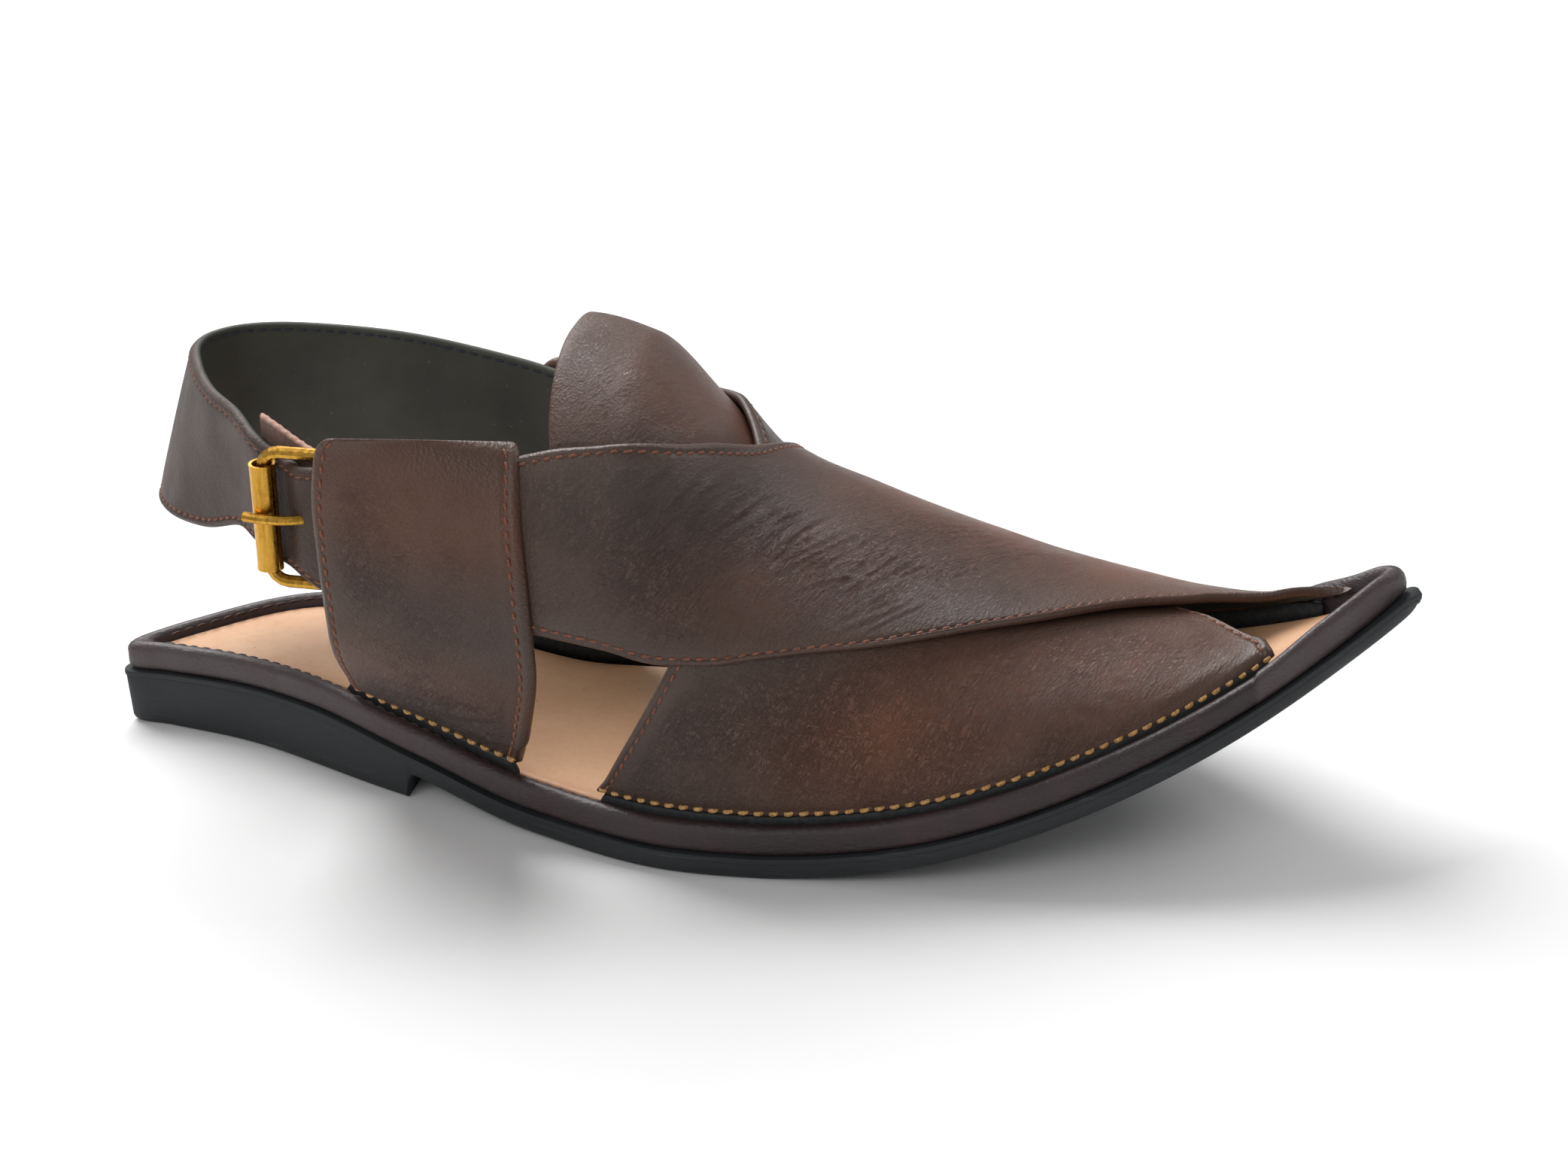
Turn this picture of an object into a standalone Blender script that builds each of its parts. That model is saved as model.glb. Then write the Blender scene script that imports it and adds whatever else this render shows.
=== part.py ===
"""Peshawari chappal, right foot: crossed vamp straps, side bands, tongue and a buckled heel strap.

Metres, +Z up, +X to the toe, +Y to the medial side. The origin is on the ground, under the
middle of the sole. Tables hold shares of the named sizes beside them.
"""
import math

import bmesh
import bpy
import numpy as np

MM = 0.001

# Sole
SOLE_LENGTH = 300 * MM
BALL_WIDTH = 100 * MM
TOE_SPRING = 48 * MM
SPRING_START = 0.543
SPRING_POWER = 1.7
HEEL_LIFT = 9.5 * MM
HEEL_LENGTH = 77 * MM
BREAST_FILLET = 2.5 * MM
RUBBER_SHEET = 5.5 * MM
RUBBER_TAPER = 1.6 * MM
WELT_HEIGHT = 6.4 * MM
WELT_STEP = 1.0 * MM
WELT_WIDTH = 4.6 * MM
TOE_SETBACK = 2.5 * MM
CREST_ROUND = 1.8 * MM
RECESS_DEPTH = 2.8 * MM
INSOLE_WALL = 2.1 * MM
HEEL_GROOVE = 0.5 * MM
SLOT_START = 0.15
SLOT_EASE = 0.035

# Upper
INSTEP_HEIGHT = 100 * MM
STRAP_WALL = 2.2 * MM
LAP_SINK = 0.8 * MM
BAND_WALL = 2.8 * MM
LATERAL_BAND_TOP = 93.5 * MM
MEDIAL_BAND_TOP = 82 * MM
TONGUE_WALL = 2.4 * MM
TONGUE_GAP = 0.5 * MM
FRONT_LIFT = 2.0 * MM

# Heel strap
HEEL_STRAP_WALL = 2.6 * MM
HEEL_STRAP_WIDTH = 37 * MM
HEEL_STRAP_HEIGHT = 92 * MM
PRONG_SLOT = 3.6 * MM

# Buckle
BUCKLE_WIRE = 2.8 * MM
BUCKLE_HEIGHT = 30 * MM
BUCKLE_WIDTH = 18 * MM
BUCKLE_CORNER = 4 * MM
ROLLER_DIAMETER = 6.0 * MM
ROLLER_WALL = 0.7 * MM
ROLLER_LENGTH = 24.5 * MM
PRONG_WIRE = 2.2 * MM
GUARD_WALL = 1.4 * MM

GAP = 0.3 * MM
SLOT_GAP = 0.4 * MM

# Share of SOLE_LENGTH from the heel, then shares of BALL_WIDTH, lateral side negative.
OUTLINE = [
    # station, lateral, medial
    (0.000, 0.000, 0.000),
    (0.040, -0.035, 0.165),
    (0.117, -0.107, 0.340),
    (0.233, -0.287, 0.355),
    (0.350, -0.442, 0.340),
    (0.467, -0.575, 0.370),
    (0.583, -0.585, 0.420),
    (0.683, -0.570, 0.425),
    (0.783, -0.487, 0.350),
    (0.873, -0.355, 0.175),
    (0.950, -0.170, 0.035),
    (1.000, 0.000, 0.000),
]

# Lift of the rubber sheet over the heel and arch, as a share of HEEL_LIFT.
RUBBER_LIFT = [
    # station, rise
    (0.000, 0.84),
    (0.083, 0.95),
    (0.167, 1.00),
    (0.267, 0.60),
    (0.367, 0.07),
    (0.483, 0.00),
    (1.000, 0.00),
]

# The foot form that the straps lie on. Rise is the crown above the welt as a share of
# INSTEP_HEIGHT, ridge and bulges are shares of BALL_WIDTH.
FORM = [
    # station, rise, ridge, squareness, lateral_bulge, medial_bulge
    (0.300, 0.930, 0.00, 3.0, 0.110, 0.120),
    (0.390, 0.945, 0.00, 2.9, 0.095, 0.100),
    (0.437, 0.920, 0.00, 2.7, 0.070, 0.075),
    (0.485, 0.780, 0.00, 2.5, 0.045, 0.045),
    (0.523, 0.640, 0.00, 2.4, 0.035, 0.030),
    (0.593, 0.522, 0.00, 2.3, 0.020, 0.015),
    (0.677, 0.371, 0.00, 2.2, 0.010, 0.010),
    (0.730, 0.268, 0.00, 2.2, 0.005, 0.005),
    (0.787, 0.167, 0.00, 2.2, 0.000, 0.000),
    (0.840, 0.086, 0.00, 2.2, 0.000, 0.000),
    (0.900, 0.018, 0.00, 2.2, 0.000, 0.000),
    (0.955, 0.006, 0.00, 2.2, 0.000, 0.000),
]

# A vamp strap from its high end beside the ankle (0) to the sole on the other side (1).
# Stations are shares of SOLE_LENGTH and arcs shares of the section, from the high end's side.
CROSS_STRAP = [
    # along, rear_station, rear_arc, front_station, front_arc
    (0.000, 0.345, 0.318, 0.355, 0.173),
    (0.125, 0.395, 0.336, 0.455, 0.169),
    (0.250, 0.440, 0.355, 0.550, 0.217),
    (0.375, 0.485, 0.413, 0.640, 0.253),
    (0.500, 0.512, 0.505, 0.730, 0.326),
    (0.625, 0.525, 0.615, 0.810, 0.490),
    (0.750, 0.510, 0.740, 0.875, 0.710),
    (0.875, 0.475, 0.875, 0.918, 0.880),
    (1.000, 0.440, 1.000, 0.948, 1.000),
]
UNDER_STRAP = [
    # along, rear_station, rear_arc, front_station, front_arc
    (0.000, 0.375, 0.263, 0.385, 0.136),
    (0.125, 0.420, 0.282, 0.460, 0.146),
    (0.250, 0.460, 0.323, 0.550, 0.184),
    (0.375, 0.490, 0.395, 0.630, 0.234),
    (0.500, 0.515, 0.490, 0.710, 0.317),
    (0.625, 0.525, 0.615, 0.790, 0.400),
    (0.750, 0.500, 0.760, 0.848, 0.470),
    (0.875, 0.466, 0.880, 0.893, 0.850),
    (1.000, 0.420, 1.000, 0.897, 1.000),
]

# Side bands, from the welt (0) to their tops (1): ends along the sole as stations, and the
# outward lean of the rear end as a share of BALL_WIDTH. The front end lies on the foot form.
LATERAL_BAND = [
    # rise, rear_station, front_station, rear_lean
    (0.00, 0.200, 0.352, 0.000),
    (0.17, 0.208, 0.372, 0.170),
    (0.40, 0.217, 0.385, 0.310),
    (0.62, 0.222, 0.382, 0.330),
    (0.83, 0.228, 0.376, 0.335),
    (1.00, 0.235, 0.373, 0.310),
]
MEDIAL_BAND = [
    # rise, rear_station, front_station, rear_lean
    (0.00, 0.233, 0.393, 0.000),
    (0.17, 0.247, 0.403, 0.065),
    (0.40, 0.267, 0.417, 0.110),
    (0.62, 0.283, 0.423, 0.120),
    (0.83, 0.303, 0.427, 0.120),
    (1.00, 0.317, 0.430, 0.110),
]

# Tongue, from its root under the vamp (0) to its free edge (1).
TONGUE = [
    # along, station, half_arc
    (0.00, 0.620, 0.160),
    (0.30, 0.550, 0.200),
    (0.60, 0.475, 0.230),
    (0.85, 0.410, 0.213),
    (1.00, 0.383, 0.182),
]
TONGUE_CORNER = 0.012

# Heel strap, from the medial band round the heel to its tail under the lateral band.
HEEL_STRAP = [
    # forward of SOLE_LENGTH, side of BALL_WIDTH, top of HEEL_STRAP_HEIGHT, width of
    # HEEL_STRAP_WIDTH, flare of HEEL_STRAP_WIDTH
    (0.350, 0.326, 0.86, 0.86, 0.00),
    (0.300, 0.350, 0.90, 0.92, 0.03),
    (0.215, 0.352, 0.96, 1.00, 0.12),
    (0.135, 0.330, 0.99, 1.00, 0.20),
    (0.085, 0.285, 1.00, 1.00, 0.26),
    (0.055, 0.200, 1.00, 1.00, 0.30),
    (0.052, 0.090, 1.00, 1.00, 0.30),
    (0.072, -0.040, 1.00, 0.97, 0.24),
    (0.105, -0.160, 0.99, 0.89, 0.10),
    (0.140, -0.262, 0.985, 0.75, 0.02),
    (0.164, -0.348, 0.965, 0.71, 0.00),
    (0.182, -0.388, 0.945, 0.70, 0.00),
    (0.195, -0.412, 0.935, 0.70, 0.00),
    (0.2035, -0.440, 0.935, 0.70, 0.00),
    (0.2125, -0.468, 0.935, 0.71, 0.00),
    (0.228, -0.484, 0.94, 0.78, 0.00),
    (0.250, -0.485, 0.93, 0.80, 0.00),
    (0.275, -0.474, 0.92, 0.80, 0.00),
    (0.300, -0.466, 0.905, 0.80, 0.00),
]

# Guard of raw leather inside the buckle, from its free end to the band.
GUARD = [
    # forward of SOLE_LENGTH, side of BALL_WIDTH, top of HEEL_STRAP_HEIGHT, width of
    # HEEL_STRAP_WIDTH
    (0.170, -0.330, 1.005, 0.72),
    (0.187, -0.364, 0.990, 0.76),
    (0.203, -0.390, 0.970, 0.78),
    (0.220, -0.418, 0.955, 0.78),
    (0.240, -0.428, 0.940, 0.77),
    (0.260, -0.438, 0.925, 0.76),
    (0.290, -0.440, 0.910, 0.76),
]

# Places on the buckle's plane, forward as stations, side as shares of BALL_WIDTH.
ROLLER_STATION = 0.181
ROLLER_SIDE = -0.440
BUCKLE_TURN = math.radians(-4)
BUCKLE_DROP = 4 * MM
BUCKLE_TOP = HEEL_STRAP_HEIGHT - BUCKLE_DROP
PRONG_DROP = 14 * MM

LEATHER_BROWN = (0.115, 0.066, 0.048, 1)
LEATHER_PLUM = (0.062, 0.038, 0.038, 1)
LEATHER_TAN = (0.66, 0.38, 0.22, 1)
LEATHER_RAW = (0.42, 0.27, 0.22, 1)
RUBBER_BLACK = (0.022, 0.027, 0.029, 1)
BRASS = (0.72, 0.43, 0.10, 1)


def reset_scene():
    for obj in list(bpy.data.objects):
        bpy.data.objects.remove(obj, do_unlink=True)
    for coll in list(bpy.data.collections):
        bpy.data.collections.remove(coll)


def collection(name):
    coll = bpy.data.collections.new(name)
    bpy.context.scene.collection.children.link(coll)
    return coll


def material(name, colour, roughness, metallic=0.0):
    mat = bpy.data.materials.new(name)
    mat.use_nodes = True
    shader = mat.node_tree.nodes["Principled BSDF"]
    shader.inputs["Base Color"].default_value = colour
    shader.inputs["Roughness"].default_value = roughness
    shader.inputs["Metallic"].default_value = metallic
    mat.diffuse_color = colour
    return mat


def smooth_rows(table, at):
    """Read a table of rows at the keys in at, along a smooth curve that never overshoots."""
    rows = np.array(table, float)
    key, cols = rows[:, 0], rows[:, 1:]
    rate = np.diff(cols, axis=0) / np.diff(key)[:, None]
    low, high = rate[:-1], rate[1:]
    same = low * high > 0
    mean = np.where(same, 2 * low * high / np.where(same, low + high, 1), 0)
    slope = np.vstack([rate[:1], mean, rate[-1:]])
    at = np.clip(np.atleast_1d(at).astype(float), key[0], key[-1])
    i = np.clip(np.searchsorted(key, at) - 1, 0, len(key) - 2)
    step = key[i + 1] - key[i]
    u = ((at - key[i]) / step)[:, None]
    start = (2 * u**3 - 3 * u**2 + 1) * cols[i] + (u**3 - 2 * u**2 + u) * step[:, None] * slope[i]
    end = (3 * u**2 - 2 * u**3) * cols[i + 1] + (u**3 - u**2) * step[:, None] * slope[i + 1]
    return start + end


def curve_through(points, per_span, closed=False):
    """A Catmull-Rom curve through the points, as an array of points."""
    pts = np.array(points, float)
    if closed:
        ring = np.vstack([pts[-1], pts, pts[0], pts[1]])
    else:
        ring = np.vstack([2 * pts[0] - pts[1], pts, 2 * pts[-1] - pts[-2]])
    out = []
    for a, b, c, d in zip(ring[:-3], ring[1:-2], ring[2:-1], ring[3:]):
        for u in np.arange(per_span) / per_span:
            out.append(0.5 * (2 * b + (c - a) * u + (2 * a - 5 * b + 4 * c - d) * u * u
                              + (3 * b - a - 3 * c + d) * u**3))
    if not closed:
        out.append(pts[-1])
    return np.array(out)


def outline_points():
    """The sole's outline, closed: lateral side heel to toe, then medial side toe to heel."""
    lateral = [(s * SOLE_LENGTH, lat * BALL_WIDTH) for s, lat, med in OUTLINE]
    medial = [(s * SOLE_LENGTH, med * BALL_WIDTH) for s, lat, med in OUTLINE[1:-1]]
    points = curve_through(lateral + medial[::-1], 16, closed=True)
    low, high = points[:, 0].min(), points[:, 0].max()
    points[:, 0] = (points[:, 0] - low) * SOLE_LENGTH / (high - low)
    return points


OUTLINE_POINTS = outline_points()
ORIGIN = np.array([SOLE_LENGTH / 2, (OUTLINE_POINTS[:, 1].min() + OUTLINE_POINTS[:, 1].max()) / 2, 0])


def outline_sides(inset):
    """Lateral and medial sides of the outline moved in by inset, each from heel to toe."""
    pts = OUTLINE_POINTS
    run = np.roll(pts, -1, axis=0) - np.roll(pts, 1, axis=0)
    run /= np.linalg.norm(run, axis=1)[:, None]
    moved = pts + inset * np.stack([-run[:, 1], run[:, 0]], axis=1)
    heel, toe = int(pts[:, 0].argmin()), int(pts[:, 0].argmax())
    ring = np.roll(moved, -heel, axis=0)
    toe = (toe - heel) % len(ring)
    lateral = onward(ring[:toe + 1])
    medial = onward(np.vstack([ring[toe:], ring[:1]])[::-1])
    return trimmed(lateral, medial)


def onward(side):
    """Only the points of a side that go on toward the toe."""
    keep = [side[0]]
    for point in side[1:]:
        if point[0] > keep[-1][0] + 1e-7:
            keep.append(point)
    return np.array(keep)


def trimmed(lateral, medial):
    """Both sides between the two places where they meet, behind the heel and at the toe."""
    low = max(lateral[0, 0], medial[0, 0])
    high = min(lateral[-1, 0], medial[-1, 0])
    xs = np.linspace(low, high, 3001)
    open_at = xs[side_at(medial, xs) - side_at(lateral, xs) > 0.02 * MM]
    low, high = open_at[0], open_at[-1]
    ends = [np.array([[x, (side_at(lateral, x) + side_at(medial, x)) / 2]]) for x in (low, high)]
    sides = []
    for side in (lateral, medial):
        inside = side[(side[:, 0] > low + 1e-6) & (side[:, 0] < high - 1e-6)]
        sides.append(np.vstack([ends[0], inside, ends[1]]))
    return sides[0], sides[1]


def side_at(side, x):
    return np.interp(x, side[:, 0], side[:, 1])


def set_back(x, setback):
    """Places along the sole with the last tenth drawn back from the toe's tip."""
    return x - setback * (np.clip(x / SOLE_LENGTH - 0.9, 0, None) / 0.1)**2


def slot_sides(inset):
    """Sides inside the welt, which is drawn back from the tip."""
    sides = outline_sides(inset)
    for side in sides:
        side[:, 0] = set_back(side[:, 0], TOE_SETBACK)
    return sides


def spring(x):
    start = SPRING_START * SOLE_LENGTH
    share = np.clip((np.asarray(x, float) - start) / (SOLE_LENGTH - start), 0, None)
    return TOE_SPRING * share**SPRING_POWER


def rubber_top(x):
    shape = np.shape(x)
    rise = smooth_rows(RUBBER_LIFT, np.ravel(x) / SOLE_LENGTH)[:, 0].reshape(shape)
    return spring(x) + RUBBER_SHEET + HEEL_LIFT * rise


def welt_base(x):
    return rubber_top(x) + GAP


def welt_crest(x):
    return welt_base(x) + WELT_HEIGHT


def recess_floor(x):
    return welt_crest(x) - RECESS_DEPTH - INSOLE_WALL


def add_object(coll, name, bm, mat, smooth_angle=35):
    bmesh.ops.translate(bm, verts=bm.verts, vec=tuple(-ORIGIN))
    bmesh.ops.recalc_face_normals(bm, faces=bm.faces)
    if bm.calc_volume(signed=True) < 0:
        bmesh.ops.reverse_faces(bm, faces=bm.faces)
    mesh = bpy.data.meshes.new(name)
    bm.to_mesh(mesh)
    bm.free()
    mesh.shade_smooth()
    mesh.set_sharp_from_angle(angle=math.radians(smooth_angle))
    mesh.materials.append(mat)
    obj = bpy.data.objects.new(name, mesh)
    coll.objects.link(obj)
    return obj


STATIONS = 46


def sole_ring(inset, height, extra=(), setback=0.0):
    """One closed ring of the sole: the outline moved in, at a height that depends on x. The
    last tenth can be set back from the toe's tip."""
    lateral, medial = outline_sides(inset)
    share = (1 - np.cos(np.pi * np.arange(STATIONS + 1) / STATIONS)) / 2
    heel, toe = lateral[0, 0], lateral[-1, 0]
    xs = np.sort(np.concatenate([heel + (toe - heel) * share, extra]))
    near = [(x, side_at(lateral, x)) for x in xs]
    far = [(x, side_at(medial, x)) for x in xs[1:-1]]
    loop = np.array(near + far[::-1])
    loop[:, 0] = set_back(loop[:, 0], setback)
    return np.column_stack([loop, height(loop[:, 0])])


def loft_rings(rings):
    """A closed solid through rings of equal length, each end capped across the sole."""
    bm = bmesh.new()
    count = len(rings[0])
    loops = [[bm.verts.new(p) for p in ring] for ring in rings]
    for low, high in zip(loops[:-1], loops[1:]):
        for i in range(count):
            j = (i + 1) % count
            bm.faces.new([low[i], low[j], high[j], high[i]])
    half = count // 2
    for loop, flip in ((loops[0], True), (loops[-1], False)):
        for i in range(half):
            near = [loop[i], loop[i + 1]]
            far = [loop[(count - i - 1) % count], loop[(count - i) % count]]
            face = list(dict.fromkeys(near + far))
            bm.faces.new(face[::-1] if flip else face)
    return bm


def rubber_under(x):
    """Underside of the rubber in front of the heel block."""
    return rubber_top(x) - RUBBER_SHEET


def make_outsole(coll, mat):
    breast = HEEL_LENGTH
    fillet = breast + BREAST_FILLET
    extra = [breast - 0.2 * MM, breast, breast + BREAST_FILLET * 0.35, fillet, fillet + 6 * MM]

    def bottom(x):
        ease = np.clip((x - breast) / BREAST_FILLET, 0, 1)
        step = 1 - (1 - ease)**3
        return np.where(x <= breast, 0, rubber_under(x) * np.where(x >= fillet, 1, step))

    def shoulder(x):
        return np.minimum(bottom(x) + RUBBER_TAPER, rubber_top(x) - RUBBER_SHEET / 2)

    profile = [
        (RUBBER_TAPER * 1.4, bottom),
        (RUBBER_TAPER * 0.5, shoulder),
        (0, lambda x: rubber_top(x) - 1.0 * MM),
        (0.4 * MM, rubber_top),
    ]
    rings = [sole_ring(inset, height, extra) for inset, height in profile]
    return add_object(coll, "outsole", loft_rings(rings), mat)


def make_midsole(coll, mat):
    """The leather-wrapped welt band with the floor that carries the insole."""
    inner = WELT_WIDTH
    profile = [
        (WELT_STEP + 0.6 * MM, 0, welt_base),
        (WELT_STEP, 1.2 * MM, welt_base),
        (WELT_STEP, WELT_HEIGHT - CREST_ROUND, welt_base),
        (WELT_STEP + 0.3 * CREST_ROUND, WELT_HEIGHT - 0.3 * CREST_ROUND, welt_base),
        (WELT_STEP + CREST_ROUND, WELT_HEIGHT, welt_base),
        (inner - 0.5 * MM, WELT_HEIGHT - 0.5 * MM, welt_base),
        (inner, WELT_HEIGHT - 1.4 * MM, welt_base),
        (inner, 0, recess_floor),
    ]
    rings = [sole_ring(inset, lambda x, base=base, rise=rise: base(x) + rise, setback=TOE_SETBACK)
             for inset, rise, base in profile]
    return add_object(coll, "midsole_welt", loft_rings(rings), mat)


def insole_ring(inset, rise):
    """The insole closes on the welt round the heel, and leaves a slot for the straps' feet."""
    def height(x):
        return recess_floor(x) + GAP + rise

    near = sole_ring(WELT_WIDTH + HEEL_GROOVE + inset, height, setback=TOE_SETBACK)
    slot = sole_ring(WELT_WIDTH + BAND_WALL + 2 * SLOT_GAP + inset, height, setback=TOE_SETBACK)
    share = np.clip((near[:, 0] / SOLE_LENGTH - SLOT_START) / SLOT_EASE, 0, 1)[:, None]
    return near * (1 - share) + slot * share


def make_insole(coll, mat):
    rings = [
        insole_ring(0.3 * MM, 0),
        insole_ring(0, 0.4 * MM),
        insole_ring(0, INSOLE_WALL - 0.5 * MM),
        insole_ring(0.6 * MM, INSOLE_WALL),
    ]
    return add_object(coll, "insole", loft_rings(rings), mat)


FOOT_INSET = WELT_WIDTH + SLOT_GAP
FORM_SIDES = slot_sides(FOOT_INSET + STRAP_WALL)
SECTION_STEPS = 72
FOOT_EASE = 0.12


def form_section(x):
    """The foot form's section at x, as points from the lateral foot to the medial foot."""
    crown, ridge, square, lat_bulge, med_bulge = smooth_rows(FORM, [x / SOLE_LENGTH])[0]
    foot = float(welt_crest(x))
    left, right = (float(side_at(side, x)) for side in FORM_SIDES)
    middle = (left + right) / 2 + ridge * BALL_WIDTH
    share = np.arange(SECTION_STEPS + 1) / SECTION_STEPS
    angle = np.pi * share - 0.4 * np.sin(2 * np.pi * share)
    out = np.abs(np.cos(angle))**(2 / square)
    up = np.abs(np.sin(angle))**(2 / square)
    lateral = np.cos(angle) > 0
    half = np.where(lateral, middle - left, right - middle)
    bulge = np.where(lateral, lat_bulge, med_bulge) * BALL_WIDTH * 4 * up * (1 - up)
    y = middle + np.where(lateral, -1, 1) * (half * out + bulge)
    z = foot + crown * INSTEP_HEIGHT * up
    return np.column_stack([y, z])


def form_point(x, arc):
    """The point of the foot form at x and at a share of the section's arc."""
    section = form_section(x)
    length = np.concatenate([[0], np.cumsum(np.linalg.norm(np.diff(section, axis=0), axis=1))])
    at = arc * length[-1]
    return np.array([x, np.interp(at, length, section[:, 0]), np.interp(at, length, section[:, 1])])


def form_side(x, z, side):
    """Where the foot form's side is at a height: lateral for side 0, medial for side 1."""
    section = form_section(x)
    top = int(section[:, 1].argmax())
    half = section[:top + 1] if side == 0 else section[top:][::-1]
    return float(np.interp(z, half[:, 1], half[:, 0]))


def grid_normals(points):
    along = np.gradient(points, axis=0)
    across = np.gradient(points, axis=1)
    normal = np.cross(along, across)
    return normal / np.linalg.norm(normal, axis=2)[:, :, None]


def shell_between(inner, outer):
    """A closed shell between two point grids of the same size."""
    bm = bmesh.new()
    grids = [[[bm.verts.new(p) for p in row] for row in grid] for grid in (inner, outer)]
    rows, cols = len(inner), len(inner[0])
    for k, grid in enumerate(grids):
        for i in range(rows - 1):
            for j in range(cols - 1):
                face = [grid[i][j], grid[i + 1][j], grid[i + 1][j + 1], grid[i][j + 1]]
                bm.faces.new(face if k else face[::-1])
    border = [(i, 0) for i in range(rows)]
    border += [(rows - 1, j) for j in range(1, cols)]
    border += [(i, cols - 1) for i in range(rows - 2, -1, -1)]
    border += [(0, j) for j in range(cols - 2, 0, -1)]
    low, high = grids
    for a, b in zip(border, border[1:] + border[:1]):
        bm.faces.new([low[a[0]][a[1]], low[b[0]][b[1]], high[b[0]][b[1]], high[a[0]][a[1]]])
    return bm


def strap_grid(table, mirrored, rows, cols):
    """Points of a strap's patch on the foot form, and its outward normals."""
    along = np.linspace(0, 1, rows)
    values = smooth_rows(table, along)
    grid = []
    for rear_s, rear_a, front_s, front_a in values:
        line = []
        for v in np.linspace(0, 1, cols):
            x = (rear_s + (front_s - rear_s) * v) * SOLE_LENGTH
            arc = rear_a + (front_a - rear_a) * v
            line.append(form_point(x, 1 - arc if mirrored else arc))
        grid.append(line)
    grid = np.array(grid)
    normal = grid_normals(grid)
    normal *= np.sign(normal[:, :, 2].sum())
    run = np.gradient(grid[-1, :, :2], axis=0)
    run /= np.linalg.norm(run, axis=1)[:, None]
    outward = -1 if mirrored else 1
    outward *= np.sign(run[:, :1])
    normal[-1] = np.column_stack([-outward * run[:, 1:], outward * run[:, :1], 0 * run[:, :1]])
    return np.vstack([grid, grid[-1:]]), np.vstack([normal, normal[-1:]])


def make_strap(coll, name, table, mirrored, layer, mat, lift=0.0):
    """A vamp strap. Its lap over the other strap fades out where it goes down to the sole."""
    grid, normal = strap_grid(table, mirrored, 34, 16)
    along = np.minimum(np.arange(len(grid)) / (len(grid) - 2), 1)[:, None, None]
    front = np.linspace(0, 1, len(grid[0]))[None, :, None]
    fade = np.clip((1 - along) / 0.16, 0, 1)
    fade = fade * fade * (3 - 2 * fade)
    raise_edge = lift * front**3 * np.sin(np.pi * np.clip((along - 0.2) / 0.75, 0, 1))
    under = layer * fade + raise_edge
    inner = grid + normal * under
    outer = grid + normal * (under + STRAP_WALL)
    for face in (inner, outer):
        face[-1, :, 2] = recess_floor(face[-1, :, 0]) + GAP
    return add_object(coll, name, shell_between(inner, outer), mat)


def make_band(coll, name, table, side, top, lapped, mat):
    """A side band: its foot stands in the slot, its rear end leans out to the ankle, and its
    front end laps a strap whose outer face is the distance lapped from the foot form."""
    sign = -1 if side == 0 else 1
    foot = slot_sides(FOOT_INSET)[side]
    rows = []
    for rise in np.linspace(0, 1, 14):
        rear, front, rear_lean = smooth_rows(table, [rise])[0]
        ends = np.array([rear, front]) * SOLE_LENGTH
        y_foot = side_at(foot, ends)
        z_front = welt_crest(ends[1]) * (1 - rise) + top * rise
        y_front = form_side(ends[1], z_front, side) + sign * (lapped - LAP_SINK + BAND_WALL)
        ease = min(rise / FOOT_EASE, 1)
        y_ends = [y_foot[0] + sign * rear_lean * BALL_WIDTH, y_foot[1] + (y_front - y_foot[1]) * ease]
        line = []
        for v in np.linspace(0, 1, 10):
            x = ends[0] + (ends[1] - ends[0]) * v
            bow = side_at(foot, x) - (y_foot[0] + (y_foot[1] - y_foot[0]) * v)
            y = y_ends[0] + (y_ends[1] - y_ends[0]) * v + bow * (1 - ease)
            z = welt_crest(x) * (1 - rise) + top * rise
            line.append((x, y, z))
        rows.append(line)
    floor = [(x, float(side_at(foot, x)), float(recess_floor(x)) + GAP) for x, y, z in rows[0]]
    outer = np.array([floor] + rows)
    normal = grid_normals(outer)
    normal *= np.sign(normal[:, :, 1].sum()) * sign
    inner = outer - normal * BAND_WALL
    inner[0] = outer[0] - np.array([0, sign * BAND_WALL, 0])
    return add_object(coll, name, shell_between(inner, outer), mat)


def unite(target, tools):
    """Join the tools to the target with exact unions, and remove the tools."""
    for tool in tools:
        mod = target.modifiers.new("join_" + tool.name, "BOOLEAN")
        mod.operation = "UNION"
        mod.solver = "EXACT"
        mod.object = tool
    bake(target)
    for tool in tools:
        bpy.data.objects.remove(tool, do_unlink=True)


def bake(obj):
    """Replace an object's mesh by its evaluated mesh, without modifiers."""
    bpy.context.view_layer.update()
    graph = bpy.context.evaluated_depsgraph_get()
    mesh = bpy.data.meshes.new_from_object(obj.evaluated_get(graph))
    obj.modifiers.clear()
    obj.data = mesh


def make_upper(coll, mat):
    under = make_strap(coll, "upper", UNDER_STRAP, True, 0.0, mat)
    lap = STRAP_WALL - LAP_SINK
    over = make_strap(coll, "cross_strap", CROSS_STRAP, False, lap, mat, FRONT_LIFT)
    lateral = make_band(coll, "lateral_band", LATERAL_BAND, 0, LATERAL_BAND_TOP,
                        lap + STRAP_WALL, mat)
    medial = make_band(coll, "medial_band", MEDIAL_BAND, 1, MEDIAL_BAND_TOP, STRAP_WALL, mat)
    unite(under, [over, lateral, medial])
    return under


def make_tongue(coll, mat):
    rows = []
    for along in np.linspace(0, 1, 17):
        station, half_arc = smooth_rows(TONGUE, [along])[0]
        line = []
        for w in np.linspace(-1, 1, 17):
            corner = TONGUE_CORNER * w**6 * along
            line.append(form_point((station + corner) * SOLE_LENGTH, 0.5 + half_arc * w))
        rows.append(line)
    grid = np.array(rows)
    normal = grid_normals(grid)
    normal *= np.sign(normal[:, :, 2].sum())
    outer = grid - normal * TONGUE_GAP
    inner = grid - normal * (TONGUE_GAP + TONGUE_WALL)
    return add_object(coll, "tongue", shell_between(inner, outer), mat)


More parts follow.
